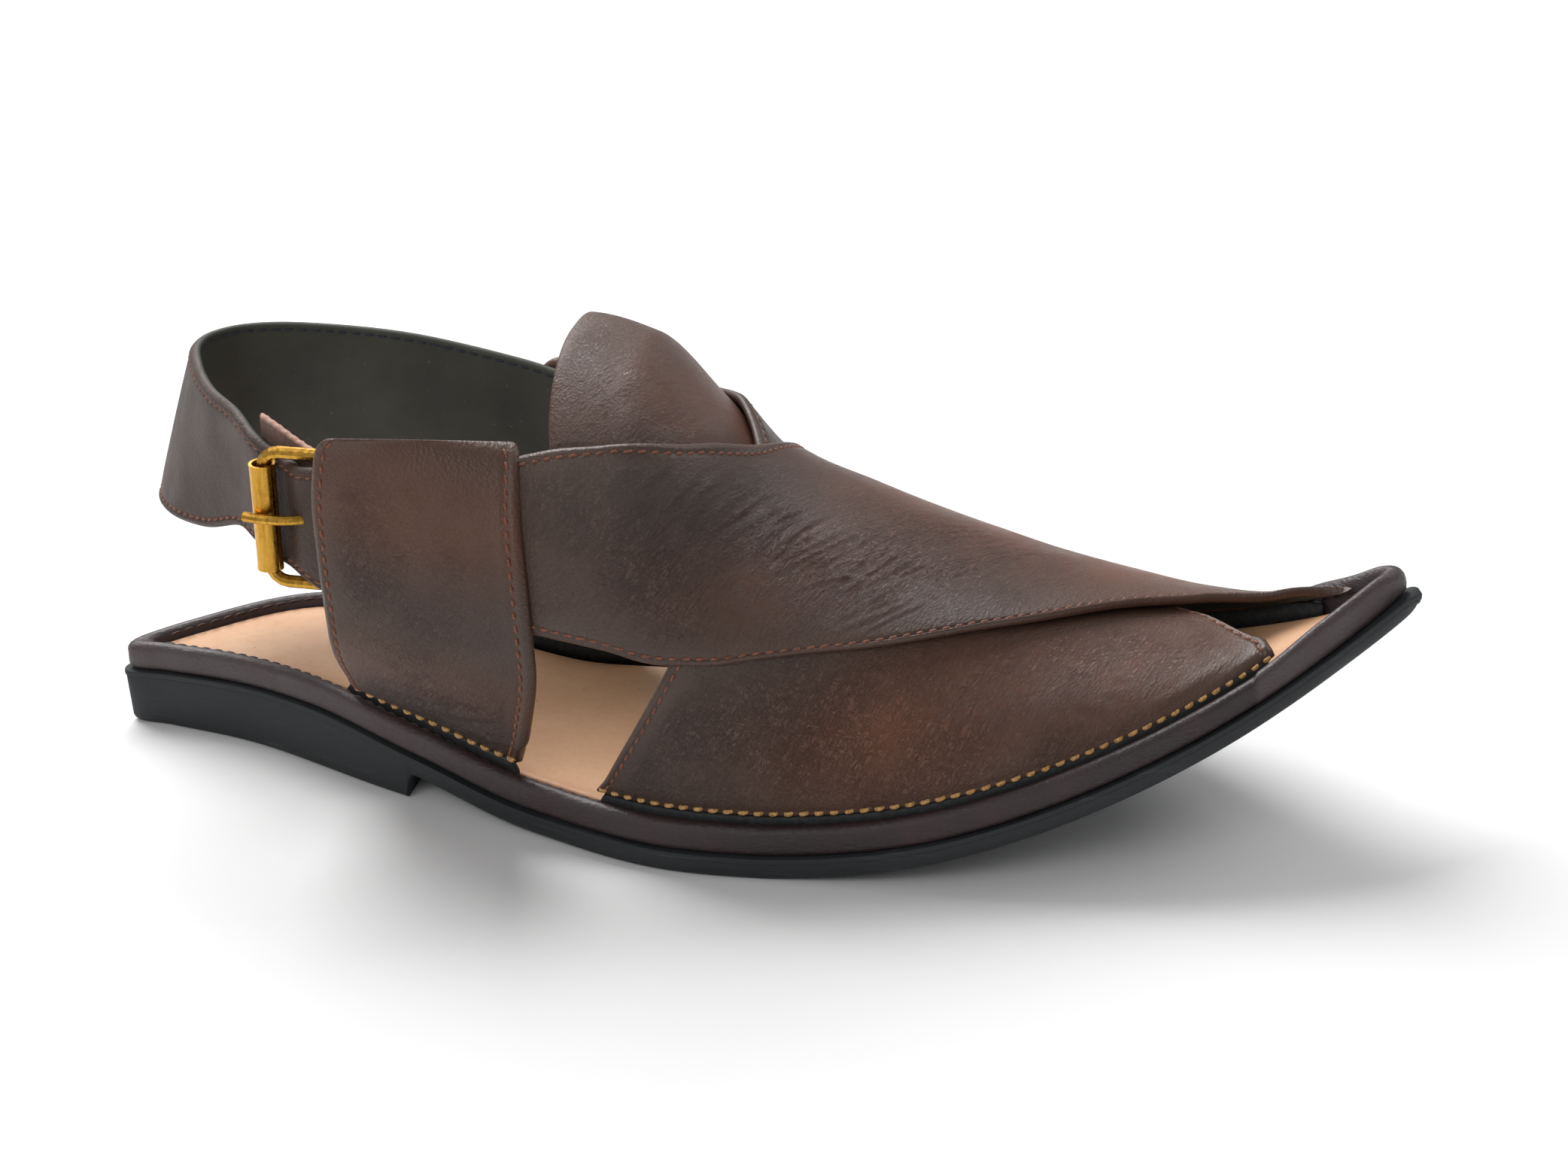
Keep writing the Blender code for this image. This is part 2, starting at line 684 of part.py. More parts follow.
def ribbon(rows, wall, heel_side):
    """A closed strap swept in plan through rows of place, top, width and flare."""
    path = curve_through(rows, 4)
    run = np.gradient(path[:, :2], axis=0)
    run /= np.linalg.norm(run, axis=1)[:, None]
    out = heel_side * np.stack([-run[:, 1], run[:, 0]], axis=1)
    faces = []
    for shift in (-wall / 2, wall / 2):
        grid = []
        for (x, y, top, width, flare), (ox, oy) in zip(path, out):
            line = []
            for v in np.linspace(0, 1, 6):
                away = flare * (v - 0.5) + shift
                line.append((x + ox * away, y + oy * away, top - width * v))
            grid.append(line)
        faces.append(np.array(grid))
    return shell_between(faces[0], faces[1])


def make_heel_strap(coll, mat):
    rows = [(f * SOLE_LENGTH, s * BALL_WIDTH, t * HEEL_STRAP_HEIGHT, w * HEEL_STRAP_WIDTH,
             q * HEEL_STRAP_WIDTH) for f, s, t, w, q in HEEL_STRAP]
    return add_object(coll, "heel_strap", ribbon(rows, HEEL_STRAP_WALL, -1), mat)


def make_guard(coll, mat):
    rows = [(f * SOLE_LENGTH, s * BALL_WIDTH, t * HEEL_STRAP_HEIGHT, w * HEEL_STRAP_WIDTH, 0)
            for f, s, t, w in GUARD]
    return add_object(coll, "buckle_guard", ribbon(rows, GUARD_WALL, -1), mat)


def buckle_place(along, height, out=0.0):
    """A point on the buckle's plane: along the strap from the roller, above its middle."""
    mid = BUCKLE_TOP - BUCKLE_HEIGHT / 2
    c, s = math.cos(BUCKLE_TURN), math.sin(BUCKLE_TURN)
    x = ROLLER_STATION * SOLE_LENGTH + along * c + out * s
    y = ROLLER_SIDE * BALL_WIDTH + along * s - out * c
    return (x, y, mid + height)


def wire_object(coll, name, points, radius, mat, cyclic=False, resolution=3):
    """A wire of round section along the points, made a mesh with welded caps."""
    curve = bpy.data.curves.new(name, "CURVE")
    curve.dimensions = "3D"
    curve.bevel_depth = radius
    curve.bevel_resolution = resolution
    curve.use_fill_caps = True
    spline = curve.splines.new("POLY")
    spline.points.add(len(points) - 1)
    for point, place in zip(spline.points, points):
        point.co = (*(np.array(place) - ORIGIN), 1)
    spline.use_cyclic_u = cyclic
    obj = bpy.data.objects.new(name, curve)
    coll.objects.link(obj)
    bpy.context.view_layer.update()
    graph = bpy.context.evaluated_depsgraph_get()
    mesh = bpy.data.meshes.new_from_object(obj.evaluated_get(graph))
    bpy.data.objects.remove(obj, do_unlink=True)
    bm = bmesh.new()
    bm.from_mesh(mesh)
    bmesh.ops.remove_doubles(bm, verts=bm.verts, dist=1e-6)
    bmesh.ops.translate(bm, verts=bm.verts, vec=tuple(ORIGIN))
    return add_object(coll, name, bm, mat)


def make_buckle(coll, mat):
    corners = [(0, -1), (0, 1), (1, 1), (1, -1)]
    half = BUCKLE_HEIGHT / 2
    points = []
    for k, (a, b) in enumerate(corners):
        cx = abs(a * BUCKLE_WIDTH - BUCKLE_CORNER)
        cz = b * (half - BUCKLE_CORNER)
        start = math.radians((-90, 180, 90, 0)[k])
        for step in range(5):
            angle = start - math.radians(90) * step / 4
            points.append(buckle_place(cx + BUCKLE_CORNER * math.cos(angle),
                                       cz + BUCKLE_CORNER * math.sin(angle)))
    return wire_object(coll, "buckle_frame", points, BUCKLE_WIRE / 2, mat, cyclic=True)


def make_roller(coll, mat):
    """Open rolled sheet round the buckle's outer bar, as a turned tube."""
    outer = ROLLER_DIAMETER / 2
    inner = outer - ROLLER_WALL
    bm = bmesh.new()
    sides = 20
    rings = []
    for radius, height in ((outer, -1), (outer, 1), (inner, 1), (inner, -1)):
        ring = []
        for k in range(sides):
            angle = 2 * math.pi * k / sides
            ring.append(bm.verts.new(buckle_place(radius * math.cos(angle), height * ROLLER_LENGTH / 2,
                                                  radius * math.sin(angle))))
        rings.append(ring)
    for a, b in zip(rings, rings[1:] + rings[:1]):
        for k in range(sides):
            n = (k + 1) % sides
            bm.faces.new([a[k], a[n], b[n], b[k]])
    return add_object(coll, "buckle_roller", bm, mat)


def make_prong(coll, mat):
    reach = BUCKLE_WIDTH - BUCKLE_WIRE / 2 - GAP
    over = ROLLER_DIAMETER / 2 + PRONG_WIRE / 2 + GAP
    height = BUCKLE_HEIGHT / 2 - PRONG_DROP
    route = [(reach, 0), (reach * 0.75, over * 0.35), (reach * 0.5, over * 0.8), (reach * 0.3, over),
             (0, over), (-ROLLER_DIAMETER * 0.6, over * 0.85)]
    points = [buckle_place(along, height, out) for along, out in curve_through(route, 3)]
    return wire_object(coll, "buckle_prong", points, PRONG_WIRE / 2, mat)


def cut_prong_slot(strap, cutters):
    """The punched hole that the prong passes through."""
    half = PRONG_SLOT / 2
    height = BUCKLE_HEIGHT / 2 - PRONG_DROP
    bm = bmesh.new()
    bmesh.ops.create_cube(bm, size=1)
    for vert in bm.verts:
        along = BUCKLE_WIDTH * (0.55 + 0.55 * vert.co.x)
        vert.co = buckle_place(along, height + 2 * half * vert.co.z, 9 * MM * vert.co.y + 3 * MM)
    cutter = add_object(cutters, "prong_hole", bm, strap.data.materials[0])
    cutter.hide_render = True
    cutter.display_type = "WIRE"
    mod = strap.modifiers.new("prong_hole", "BOOLEAN")
    mod.operation = "DIFFERENCE"
    mod.solver = "EXACT"
    mod.object = cutter


def main():
    reset_scene()
    coll = collection("peshawari_chappal")
    cutters = collection("cutters")
    brown = material("leather_brown", LEATHER_BROWN, 0.5)
    plum = material("leather_plum", LEATHER_PLUM, 0.5)
    tan = material("leather_tan", LEATHER_TAN, 0.6)
    raw = material("leather_raw", LEATHER_RAW, 0.8)
    rubber = material("rubber_black", RUBBER_BLACK, 0.7)
    brass = material("brass", BRASS, 0.35, 1.0)
    make_outsole(coll, rubber)
    make_midsole(coll, plum)
    make_insole(coll, tan)
    make_upper(coll, brown)
    make_tongue(coll, brown)
    strap = make_heel_strap(coll, brown)
    make_guard(coll, raw)
    make_buckle(coll, brass)
    make_roller(coll, brass)
    make_prong(coll, brass)
    cut_prong_slot(strap, cutters)


main()
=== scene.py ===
import math
from collections import namedtuple

import bpy
import bmesh
import numpy as np
from mathutils import Matrix, Vector


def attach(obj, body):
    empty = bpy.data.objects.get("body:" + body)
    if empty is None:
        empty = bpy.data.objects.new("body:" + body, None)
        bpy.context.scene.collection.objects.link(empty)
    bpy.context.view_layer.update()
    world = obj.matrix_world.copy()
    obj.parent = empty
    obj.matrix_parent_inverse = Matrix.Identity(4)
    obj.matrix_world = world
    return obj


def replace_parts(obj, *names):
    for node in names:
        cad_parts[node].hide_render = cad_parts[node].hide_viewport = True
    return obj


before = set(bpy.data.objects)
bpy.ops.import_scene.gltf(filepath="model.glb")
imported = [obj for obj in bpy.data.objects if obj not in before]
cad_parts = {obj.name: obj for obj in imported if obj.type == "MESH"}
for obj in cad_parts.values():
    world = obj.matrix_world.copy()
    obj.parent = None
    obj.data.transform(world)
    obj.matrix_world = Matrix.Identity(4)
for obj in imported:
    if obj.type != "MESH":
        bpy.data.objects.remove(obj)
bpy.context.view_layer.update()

MM = 0.001

# The part's own sizes and tables, in metres and in shares of them.
SOLE_LENGTH = 300 * MM
BALL_WIDTH = 100 * MM
TOE_SPRING = 48 * MM
SPRING_START = 0.543
SPRING_POWER = 1.7
HEEL_LIFT = 9.5 * MM
HEEL_LENGTH = 77 * MM
BREAST_FILLET = 2.5 * MM
RUBBER_SHEET = 5.5 * MM
RUBBER_TAPER = 1.6 * MM
WELT_HEIGHT = 6.4 * MM
WELT_STEP = 1.0 * MM
WELT_WIDTH = 4.6 * MM
TOE_SETBACK = 2.5 * MM
CREST_ROUND = 1.8 * MM
RECESS_DEPTH = 2.8 * MM
INSOLE_WALL = 2.1 * MM
HEEL_GROOVE = 0.5 * MM
SLOT_START = 0.15
SLOT_EASE = 0.035
INSTEP_HEIGHT = 100 * MM
STRAP_WALL = 2.2 * MM
LAP_SINK = 0.8 * MM
BAND_WALL = 2.8 * MM
LATERAL_BAND_TOP = 93.5 * MM
MEDIAL_BAND_TOP = 82 * MM
TONGUE_WALL = 2.4 * MM
TONGUE_GAP = 0.5 * MM
FRONT_LIFT = 2.0 * MM
HEEL_STRAP_WALL = 2.6 * MM
HEEL_STRAP_WIDTH = 37 * MM
HEEL_STRAP_HEIGHT = 92 * MM
BUCKLE_HEIGHT = 30 * MM
ROLLER_DIAMETER = 6.0 * MM
ROLLER_WALL = 0.7 * MM
ROLLER_LENGTH = 24.5 * MM
GUARD_WALL = 1.4 * MM
GAP = 0.3 * MM
SLOT_GAP = 0.4 * MM

OUTLINE = [
    (0.000, 0.000, 0.000),
    (0.040, -0.035, 0.165),
    (0.117, -0.107, 0.340),
    (0.233, -0.287, 0.355),
    (0.350, -0.442, 0.340),
    (0.467, -0.575, 0.370),
    (0.583, -0.585, 0.420),
    (0.683, -0.570, 0.425),
    (0.783, -0.487, 0.350),
    (0.873, -0.355, 0.175),
    (0.950, -0.170, 0.035),
    (1.000, 0.000, 0.000),
]
RUBBER_LIFT = [
    (0.000, 0.84), (0.083, 0.95), (0.167, 1.00), (0.267, 0.60), (0.367, 0.07), (0.483, 0.00),
    (1.000, 0.00),
]
FORM = [
    (0.300, 0.930, 0.00, 3.0, 0.110, 0.120),
    (0.390, 0.945, 0.00, 2.9, 0.095, 0.100),
    (0.437, 0.920, 0.00, 2.7, 0.070, 0.075),
    (0.485, 0.780, 0.00, 2.5, 0.045, 0.045),
    (0.523, 0.640, 0.00, 2.4, 0.035, 0.030),
    (0.593, 0.522, 0.00, 2.3, 0.020, 0.015),
    (0.677, 0.371, 0.00, 2.2, 0.010, 0.010),
    (0.730, 0.268, 0.00, 2.2, 0.005, 0.005),
    (0.787, 0.167, 0.00, 2.2, 0.000, 0.000),
    (0.840, 0.086, 0.00, 2.2, 0.000, 0.000),
    (0.900, 0.018, 0.00, 2.2, 0.000, 0.000),
    (0.955, 0.006, 0.00, 2.2, 0.000, 0.000),
]
CROSS_STRAP = [
    (0.000, 0.345, 0.318, 0.355, 0.173),
    (0.125, 0.395, 0.336, 0.455, 0.169),
    (0.250, 0.440, 0.355, 0.550, 0.217),
    (0.375, 0.485, 0.413, 0.640, 0.253),
    (0.500, 0.512, 0.505, 0.730, 0.326),
    (0.625, 0.525, 0.615, 0.810, 0.490),
    (0.750, 0.510, 0.740, 0.875, 0.710),
    (0.875, 0.475, 0.875, 0.918, 0.880),
    (1.000, 0.440, 1.000, 0.948, 1.000),
]
UNDER_STRAP = [
    (0.000, 0.375, 0.263, 0.385, 0.136),
    (0.125, 0.420, 0.282, 0.460, 0.146),
    (0.250, 0.460, 0.323, 0.550, 0.184),
    (0.375, 0.490, 0.395, 0.630, 0.234),
    (0.500, 0.515, 0.490, 0.710, 0.317),
    (0.625, 0.525, 0.615, 0.790, 0.400),
    (0.750, 0.500, 0.760, 0.848, 0.470),
    (0.875, 0.466, 0.880, 0.893, 0.850),
    (1.000, 0.420, 1.000, 0.897, 1.000),
]
LATERAL_BAND = [
    (0.00, 0.200, 0.352, 0.000),
    (0.17, 0.208, 0.372, 0.170),
    (0.40, 0.217, 0.385, 0.310),
    (0.62, 0.222, 0.382, 0.330),
    (0.83, 0.228, 0.376, 0.335),
    (1.00, 0.235, 0.373, 0.310),
]
MEDIAL_BAND = [
    (0.00, 0.233, 0.393, 0.000),
    (0.17, 0.247, 0.403, 0.065),
    (0.40, 0.267, 0.417, 0.110),
    (0.62, 0.283, 0.423, 0.120),
    (0.83, 0.303, 0.427, 0.120),
    (1.00, 0.317, 0.430, 0.110),
]
TONGUE = [
    (0.00, 0.620, 0.160),
    (0.30, 0.550, 0.200),
    (0.60, 0.475, 0.230),
    (0.85, 0.410, 0.213),
    (1.00, 0.383, 0.182),
]
TONGUE_CORNER = 0.012
HEEL_STRAP = [
    (0.350, 0.326, 0.86, 0.86, 0.00),
    (0.300, 0.350, 0.90, 0.92, 0.03),
    (0.215, 0.352, 0.96, 1.00, 0.12),
    (0.135, 0.330, 0.99, 1.00, 0.20),
    (0.085, 0.285, 1.00, 1.00, 0.26),
    (0.055, 0.200, 1.00, 1.00, 0.30),
    (0.052, 0.090, 1.00, 1.00, 0.30),
    (0.072, -0.040, 1.00, 0.97, 0.24),
    (0.105, -0.160, 0.99, 0.89, 0.10),
    (0.140, -0.262, 0.985, 0.75, 0.02),
    (0.164, -0.348, 0.965, 0.71, 0.00),
    (0.182, -0.388, 0.945, 0.70, 0.00),
    (0.195, -0.412, 0.935, 0.70, 0.00),
    (0.2035, -0.440, 0.935, 0.70, 0.00),
    (0.2125, -0.468, 0.935, 0.71, 0.00),
    (0.228, -0.484, 0.94, 0.78, 0.00),
    (0.250, -0.485, 0.93, 0.80, 0.00),
    (0.275, -0.474, 0.92, 0.80, 0.00),
    (0.300, -0.466, 0.905, 0.80, 0.00),
]
GUARD = [
    (0.170, -0.330, 1.005, 0.72),
    (0.187, -0.364, 0.990, 0.76),
    (0.203, -0.390, 0.970, 0.78),
    (0.220, -0.418, 0.955, 0.78),
    (0.240, -0.428, 0.940, 0.77),
    (0.260, -0.438, 0.925, 0.76),
    (0.290, -0.440, 0.910, 0.76),
]
ROLLER_STATION = 0.181
ROLLER_SIDE = -0.440
BUCKLE_TURN = math.radians(-4)
BUCKLE_DROP = 4 * MM
BUCKLE_TOP = HEEL_STRAP_HEIGHT - BUCKLE_DROP


def smooth_rows(table, at):
    rows = np.array(table, float)
    key, cols = rows[:, 0], rows[:, 1:]
    rate = np.diff(cols, axis=0) / np.diff(key)[:, None]
    low, high = rate[:-1], rate[1:]
    same = low * high > 0
    mean = np.where(same, 2 * low * high / np.where(same, low + high, 1), 0)
    slope = np.vstack([rate[:1], mean, rate[-1:]])
    at = np.clip(np.atleast_1d(at).astype(float), key[0], key[-1])
    i = np.clip(np.searchsorted(key, at) - 1, 0, len(key) - 2)
    step = key[i + 1] - key[i]
    u = ((at - key[i]) / step)[:, None]
    start = (2 * u**3 - 3 * u**2 + 1) * cols[i] + (u**3 - 2 * u**2 + u) * step[:, None] * slope[i]
    end = (3 * u**2 - 2 * u**3) * cols[i + 1] + (u**3 - u**2) * step[:, None] * slope[i + 1]
    return start + end


def curve_through(points, per_span, closed=False):
    pts = np.array(points, float)
    if closed:
        ring = np.vstack([pts[-1], pts, pts[0], pts[1]])
    else:
        ring = np.vstack([2 * pts[0] - pts[1], pts, 2 * pts[-1] - pts[-2]])
    out = []
    for a, b, c, d in zip(ring[:-3], ring[1:-2], ring[2:-1], ring[3:]):
        for u in np.arange(per_span) / per_span:
            out.append(0.5 * (2 * b + (c - a) * u + (2 * a - 5 * b + 4 * c - d) * u * u
                              + (3 * b - a - 3 * c + d) * u**3))
    if not closed:
        out.append(pts[-1])
    return np.array(out)


def outline_points():
    lateral = [(s * SOLE_LENGTH, lat * BALL_WIDTH) for s, lat, med in OUTLINE]
    medial = [(s * SOLE_LENGTH, med * BALL_WIDTH) for s, lat, med in OUTLINE[1:-1]]
    points = curve_through(lateral + medial[::-1], 16, closed=True)
    low, high = points[:, 0].min(), points[:, 0].max()
    points[:, 0] = (points[:, 0] - low) * SOLE_LENGTH / (high - low)
    return points


OUTLINE_POINTS = outline_points()
ORIGIN = np.array([SOLE_LENGTH / 2, (OUTLINE_POINTS[:, 1].min() + OUTLINE_POINTS[:, 1].max()) / 2, 0])


def side_at(side, x):
    return np.interp(x, side[:, 0], side[:, 1])


def onward(side):
    keep = [side[0]]
    for point in side[1:]:
        if point[0] > keep[-1][0] + 1e-7:
            keep.append(point)
    return np.array(keep)


def outline_sides(inset):
    pts = OUTLINE_POINTS
    run = np.roll(pts, -1, axis=0) - np.roll(pts, 1, axis=0)
    run /= np.linalg.norm(run, axis=1)[:, None]
    moved = pts + inset * np.stack([-run[:, 1], run[:, 0]], axis=1)
    heel, toe = int(pts[:, 0].argmin()), int(pts[:, 0].argmax())
    ring = np.roll(moved, -heel, axis=0)
    toe = (toe - heel) % len(ring)
    lateral = onward(ring[:toe + 1])
    medial = onward(np.vstack([ring[toe:], ring[:1]])[::-1])
    low = max(lateral[0, 0], medial[0, 0])
    high = min(lateral[-1, 0], medial[-1, 0])
    xs = np.linspace(low, high, 3001)
    open_at = xs[side_at(medial, xs) - side_at(lateral, xs) > 0.02 * MM]
    low, high = open_at[0], open_at[-1]
    ends = [np.array([[x, (side_at(lateral, x) + side_at(medial, x)) / 2]]) for x in (low, high)]
    sides = []
    for side in (lateral, medial):
        inside = side[(side[:, 0] > low + 1e-6) & (side[:, 0] < high - 1e-6)]
        sides.append(np.vstack([ends[0], inside, ends[1]]))
    return sides[0], sides[1]


def set_back(x, setback):
    return x - setback * (np.clip(x / SOLE_LENGTH - 0.9, 0, None) / 0.1)**2


def slot_sides(inset):
    sides = outline_sides(inset)
    for side in sides:
        side[:, 0] = set_back(side[:, 0], TOE_SETBACK)
    return sides


def spring(x):
    start = SPRING_START * SOLE_LENGTH
    share = np.clip((np.asarray(x, float) - start) / (SOLE_LENGTH - start), 0, None)
    return TOE_SPRING * share**SPRING_POWER


def rubber_top(x):
    shape = np.shape(x)
    rise = smooth_rows(RUBBER_LIFT, np.ravel(x) / SOLE_LENGTH)[:, 0].reshape(shape)
    return spring(x) + RUBBER_SHEET + HEEL_LIFT * rise


def welt_base(x):
    return rubber_top(x) + GAP


def welt_crest(x):
    return welt_base(x) + WELT_HEIGHT


def recess_floor(x):
    return welt_crest(x) - RECESS_DEPTH - INSOLE_WALL


FOOT_INSET = WELT_WIDTH + SLOT_GAP
FORM_SIDES = slot_sides(FOOT_INSET + STRAP_WALL)
FORM_X = np.linspace(0.295, 0.960, 420) * SOLE_LENGTH
FORM_ARCS = 321


def form_table():
    """The foot form as a table of points: one row for each x, equal arcs from lateral to medial."""
    crown, ridge, square, lat_bulge, med_bulge = smooth_rows(FORM, FORM_X / SOLE_LENGTH).T[:, :, None]
    foot = welt_crest(FORM_X)[:, None]
    left, right = (side_at(side, FORM_X)[:, None] for side in FORM_SIDES)
    middle = (left + right) / 2 + ridge * BALL_WIDTH
    share = np.arange(289) / 288
    angle = (np.pi * share - 0.4 * np.sin(2 * np.pi * share))[None, :]
    out = np.abs(np.cos(angle))**(2 / square)
    up = np.abs(np.sin(angle))**(2 / square)
    lateral = np.cos(angle) > 0
    half = np.where(lateral, middle - left, right - middle)
    bulge = np.where(lateral, lat_bulge, med_bulge) * BALL_WIDTH * 4 * up * (1 - up)
    y = middle + np.where(lateral, -1, 1) * (half * out + bulge)
    z = foot + crown * INSTEP_HEIGHT * up
    table = np.zeros((len(FORM_X), FORM_ARCS, 3))
    at = np.linspace(0, 1, FORM_ARCS)
    for i in range(len(FORM_X)):
        length = np.concatenate([[0], np.cumsum(np.hypot(np.diff(y[i]), np.diff(z[i])))])
        table[i, :, 0] = np.interp(at * length[-1], length, y[i])
        table[i, :, 1] = np.interp(at * length[-1], length, z[i])
        table[i, :, 2] = length[-1]
    return table


FORM_GRID = form_table()


def form_at(x, arc):
    """Points of the foot form, and the length of the section there."""
    i = np.clip((x - FORM_X[0]) / (FORM_X[1] - FORM_X[0]), 0, len(FORM_X) - 1.001)
    j = np.clip(arc, 0, 1) * (FORM_ARCS - 1.001)
    a, b = i.astype(int), j.astype(int)
    u, v = (i - a)[..., None], (j - b)[..., None]
    g = FORM_GRID
    low = g[a, b] * (1 - v) + g[a, b + 1] * v
    high = g[a + 1, b] * (1 - v) + g[a + 1, b + 1] * v
    got = low * (1 - u) + high * u
    return np.stack([x, got[..., 0], got[..., 1]], axis=-1), got[..., 2]


def unit(vectors):
    return vectors / np.maximum(np.linalg.norm(vectors, axis=-1, keepdims=True), 1e-15)


def normals_of(points):
    return unit(np.cross(np.gradient(points, axis=0), np.gradient(points, axis=1)))


# Materials

def srgb(r, g, b):
    return tuple(((c / 255 + 0.055) / 1.055)**2.4 if c > 10 else c / 255 / 12.92 for c in (r, g, b)) + (1,)


class Nodes:
    """A small helper to build one material's node tree."""

    def __init__(self, name, roughness=0.5, metallic=0.0):
        self.mat = bpy.data.materials.new(name)
        self.mat.use_nodes = True
        self.tree = self.mat.node_tree
        self.shader = self.tree.nodes["Principled BSDF"]
        self.shader.inputs["Roughness"].default_value = roughness
        self.shader.inputs["Metallic"].default_value = metallic

    def fill(self, socket, value):
        """Give a socket a plain value or another node's output."""
        if isinstance(value, bpy.types.NodeSocket):
            self.tree.links.new(value, socket)
        else:
            socket.default_value = value

    def made(self, kind, output, inputs, **settings):
        """One output of a new node whose settings and inputs are filled."""
        node = self.tree.nodes.new(kind)
        for key, value in settings.items():
            setattr(node, key, value)
        for key, value in inputs.items():
            self.fill(node.inputs[key], value)
        return node.outputs[output]

    def attribute(self, name, output="Fac"):
        return self.made("ShaderNodeAttribute", output, {}, attribute_name=name)

    def own(self):
        return self.made("ShaderNodeTexCoord", "Object", {})

    def place(self, scale=(1, 1, 1), turn=0.0, source=None):
        """Coordinates in millimetres, turned and then scaled: the object's own or a cloth attribute."""
        source = self.own() if source is None else source
        turned = self.made("ShaderNodeMapping", "Vector", {"Vector": source, "Rotation": (0, 0, turn)})
        return self.made("ShaderNodeMapping", "Vector", {"Vector": turned, "Scale": [1000 * s for s in scale]})

    def noise(self, vector, scale, detail=3.0, rough=0.55, distortion=0.0):
        return self.made("ShaderNodeTexNoise", "Fac", {
            "Vector": vector, "Scale": scale, "Detail": detail, "Roughness": rough, "Distortion": distortion})

    def cells(self, vector, scale):
        return self.made("ShaderNodeTexVoronoi", "Distance", {"Vector": vector, "Scale": scale})

    def math(self, kind, a, b=0.0):
        return self.made("ShaderNodeMath", 0, {0: a, 1: b}, operation=kind)

    def times(self, a, b):
        return self.math("MULTIPLY", a, b)

    def grey(self, fac, low, high, a=0.0, b=1.0):
        return self.made("ShaderNodeMapRange", "Result", {
            "Value": fac, "From Min": low, "From Max": high, "To Min": a, "To Max": b})

    def mix(self, fac, a, b):
        return self.made("ShaderNodeMix", 2, {0: fac, 6: a, 7: b}, data_type="RGBA")

    def between(self, fac, low, high, first, second):
        """From one colour to another as a pattern rises between two levels."""
        return self.mix(self.grey(fac, low, high), srgb(*first), srgb(*second))

    def tint(self, base, fac, low, high, amount, colour):
        """Some of a colour over the base where a pattern rises between two levels."""
        return self.mix(self.grey(fac, low, high, 0, amount), base, srgb(*colour))

    def bump(self, height, distance, strength=1.0, under=None):
        inputs = {"Height": height, "Distance": distance * MM, "Strength": strength}
        if under is not None:
            inputs["Normal"] = under
        return self.made("ShaderNodeBump", "Normal", inputs)

    def finish(self, colour, normal=None, rough=None):
        for key, value in (("Base Color", colour), ("Normal", normal), ("Roughness", rough)):
            if value is not None:
                self.fill(self.shader.inputs[key], value)
        return self.mat


def upper_leather(name="upper_leather", shade=0.0):
    """Oiled brown leather: fine pores, a net of creases where it flexes, painted shade in the crease hollows,
    reddish burnish.
    """
    m = Nodes(name, 0.46)
    cloth = m.attribute("cloth", "Vector")
    face = m.place(source=cloth)
    mottle = m.noise(m.place(), 0.11, 4)
    base = m.between(m.noise(m.place(), 0.022, 3), 0.35, 0.65, (66, 51, 44), (80, 60, 49))
    base = m.tint(base, mottle, 0.4, 0.75, 0.45, (58, 47, 42))
    burnish = m.times(m.attribute("warm"), m.grey(mottle, 0.2, 0.7, 0.6, 1.0))
    base = m.mix(burnish, base, srgb(122, 72, 48))
    lines = [m.noise(m.place((long, wide, 1), turn, cloth), 1.0, 5, 0.62, 0.9)
             for turn, long, wide in ((-0.90, 0.22, 1.00), (-1.25, 0.26, 0.85), (0.45, 0.26, 0.80))]
    ridged = [m.math("ABSOLUTE", m.math("SUBTRACT", line, 0.5)) for line in lines]
    net = m.math("MINIMUM", m.math("MINIMUM", ridged[0], ridged[1]), ridged[2])
    patch = m.grey(m.noise(face, 0.06, 2), 0.36, 0.66, 0.35, 1.0)
    amount = m.times(m.attribute("flex"), patch)
    crease_depth_and_shade = m.times(m.grey(net, 0.0, 0.035, 1.0, 0.0), amount)
    # Painted shade: the crease hollows are darkened towards a deep brown in the colour.
    base = m.mix(m.times(crease_depth_and_shade, 0.20), base, srgb(44, 33, 29))
    base = m.mix(m.times(m.attribute("edge"), 0.5), base, srgb(84, 58, 46))
    base = m.mix(shade, base, srgb(44, 33, 28))
    normal = m.bump(m.noise(face, 0.05, 2), 0.5, 0.25)
    normal = m.bump(m.math("SUBTRACT", 1.0, crease_depth_and_shade), 0.30, 0.9, normal)
    normal = m.bump(m.times(lines[0], m.math("ADD", amount, 0.12)), 0.9, 0.7, normal)
    normal = m.bump(m.cells(face, 1.5), 0.18, 0.6, normal)
    normal = m.bump(m.noise(face, 2.4, 3), 0.13, 0.5, normal)
    rough = m.grey(mottle, 0.3, 0.7, 0.34 + 0.3 * shade, 0.46 + 0.3 * shade)
    return m.finish(base, normal, rough)


def lining_leather():
    m = Nodes("grey_lining", 0.62)
    place = m.place()
    broad = m.noise(place, 0.06, 3)
    base = m.between(broad, 0.3, 0.7, (50, 52, 46), (66, 67, 59))
    base = m.tint(base, m.noise(place, 0.9, 2), 0.68, 0.8, 0.35, (130, 128, 112))
    return m.finish(base, m.bump(m.noise(place, 1.6, 3), 0.08, 0.4, m.bump(broad, 0.6, 0.3)))


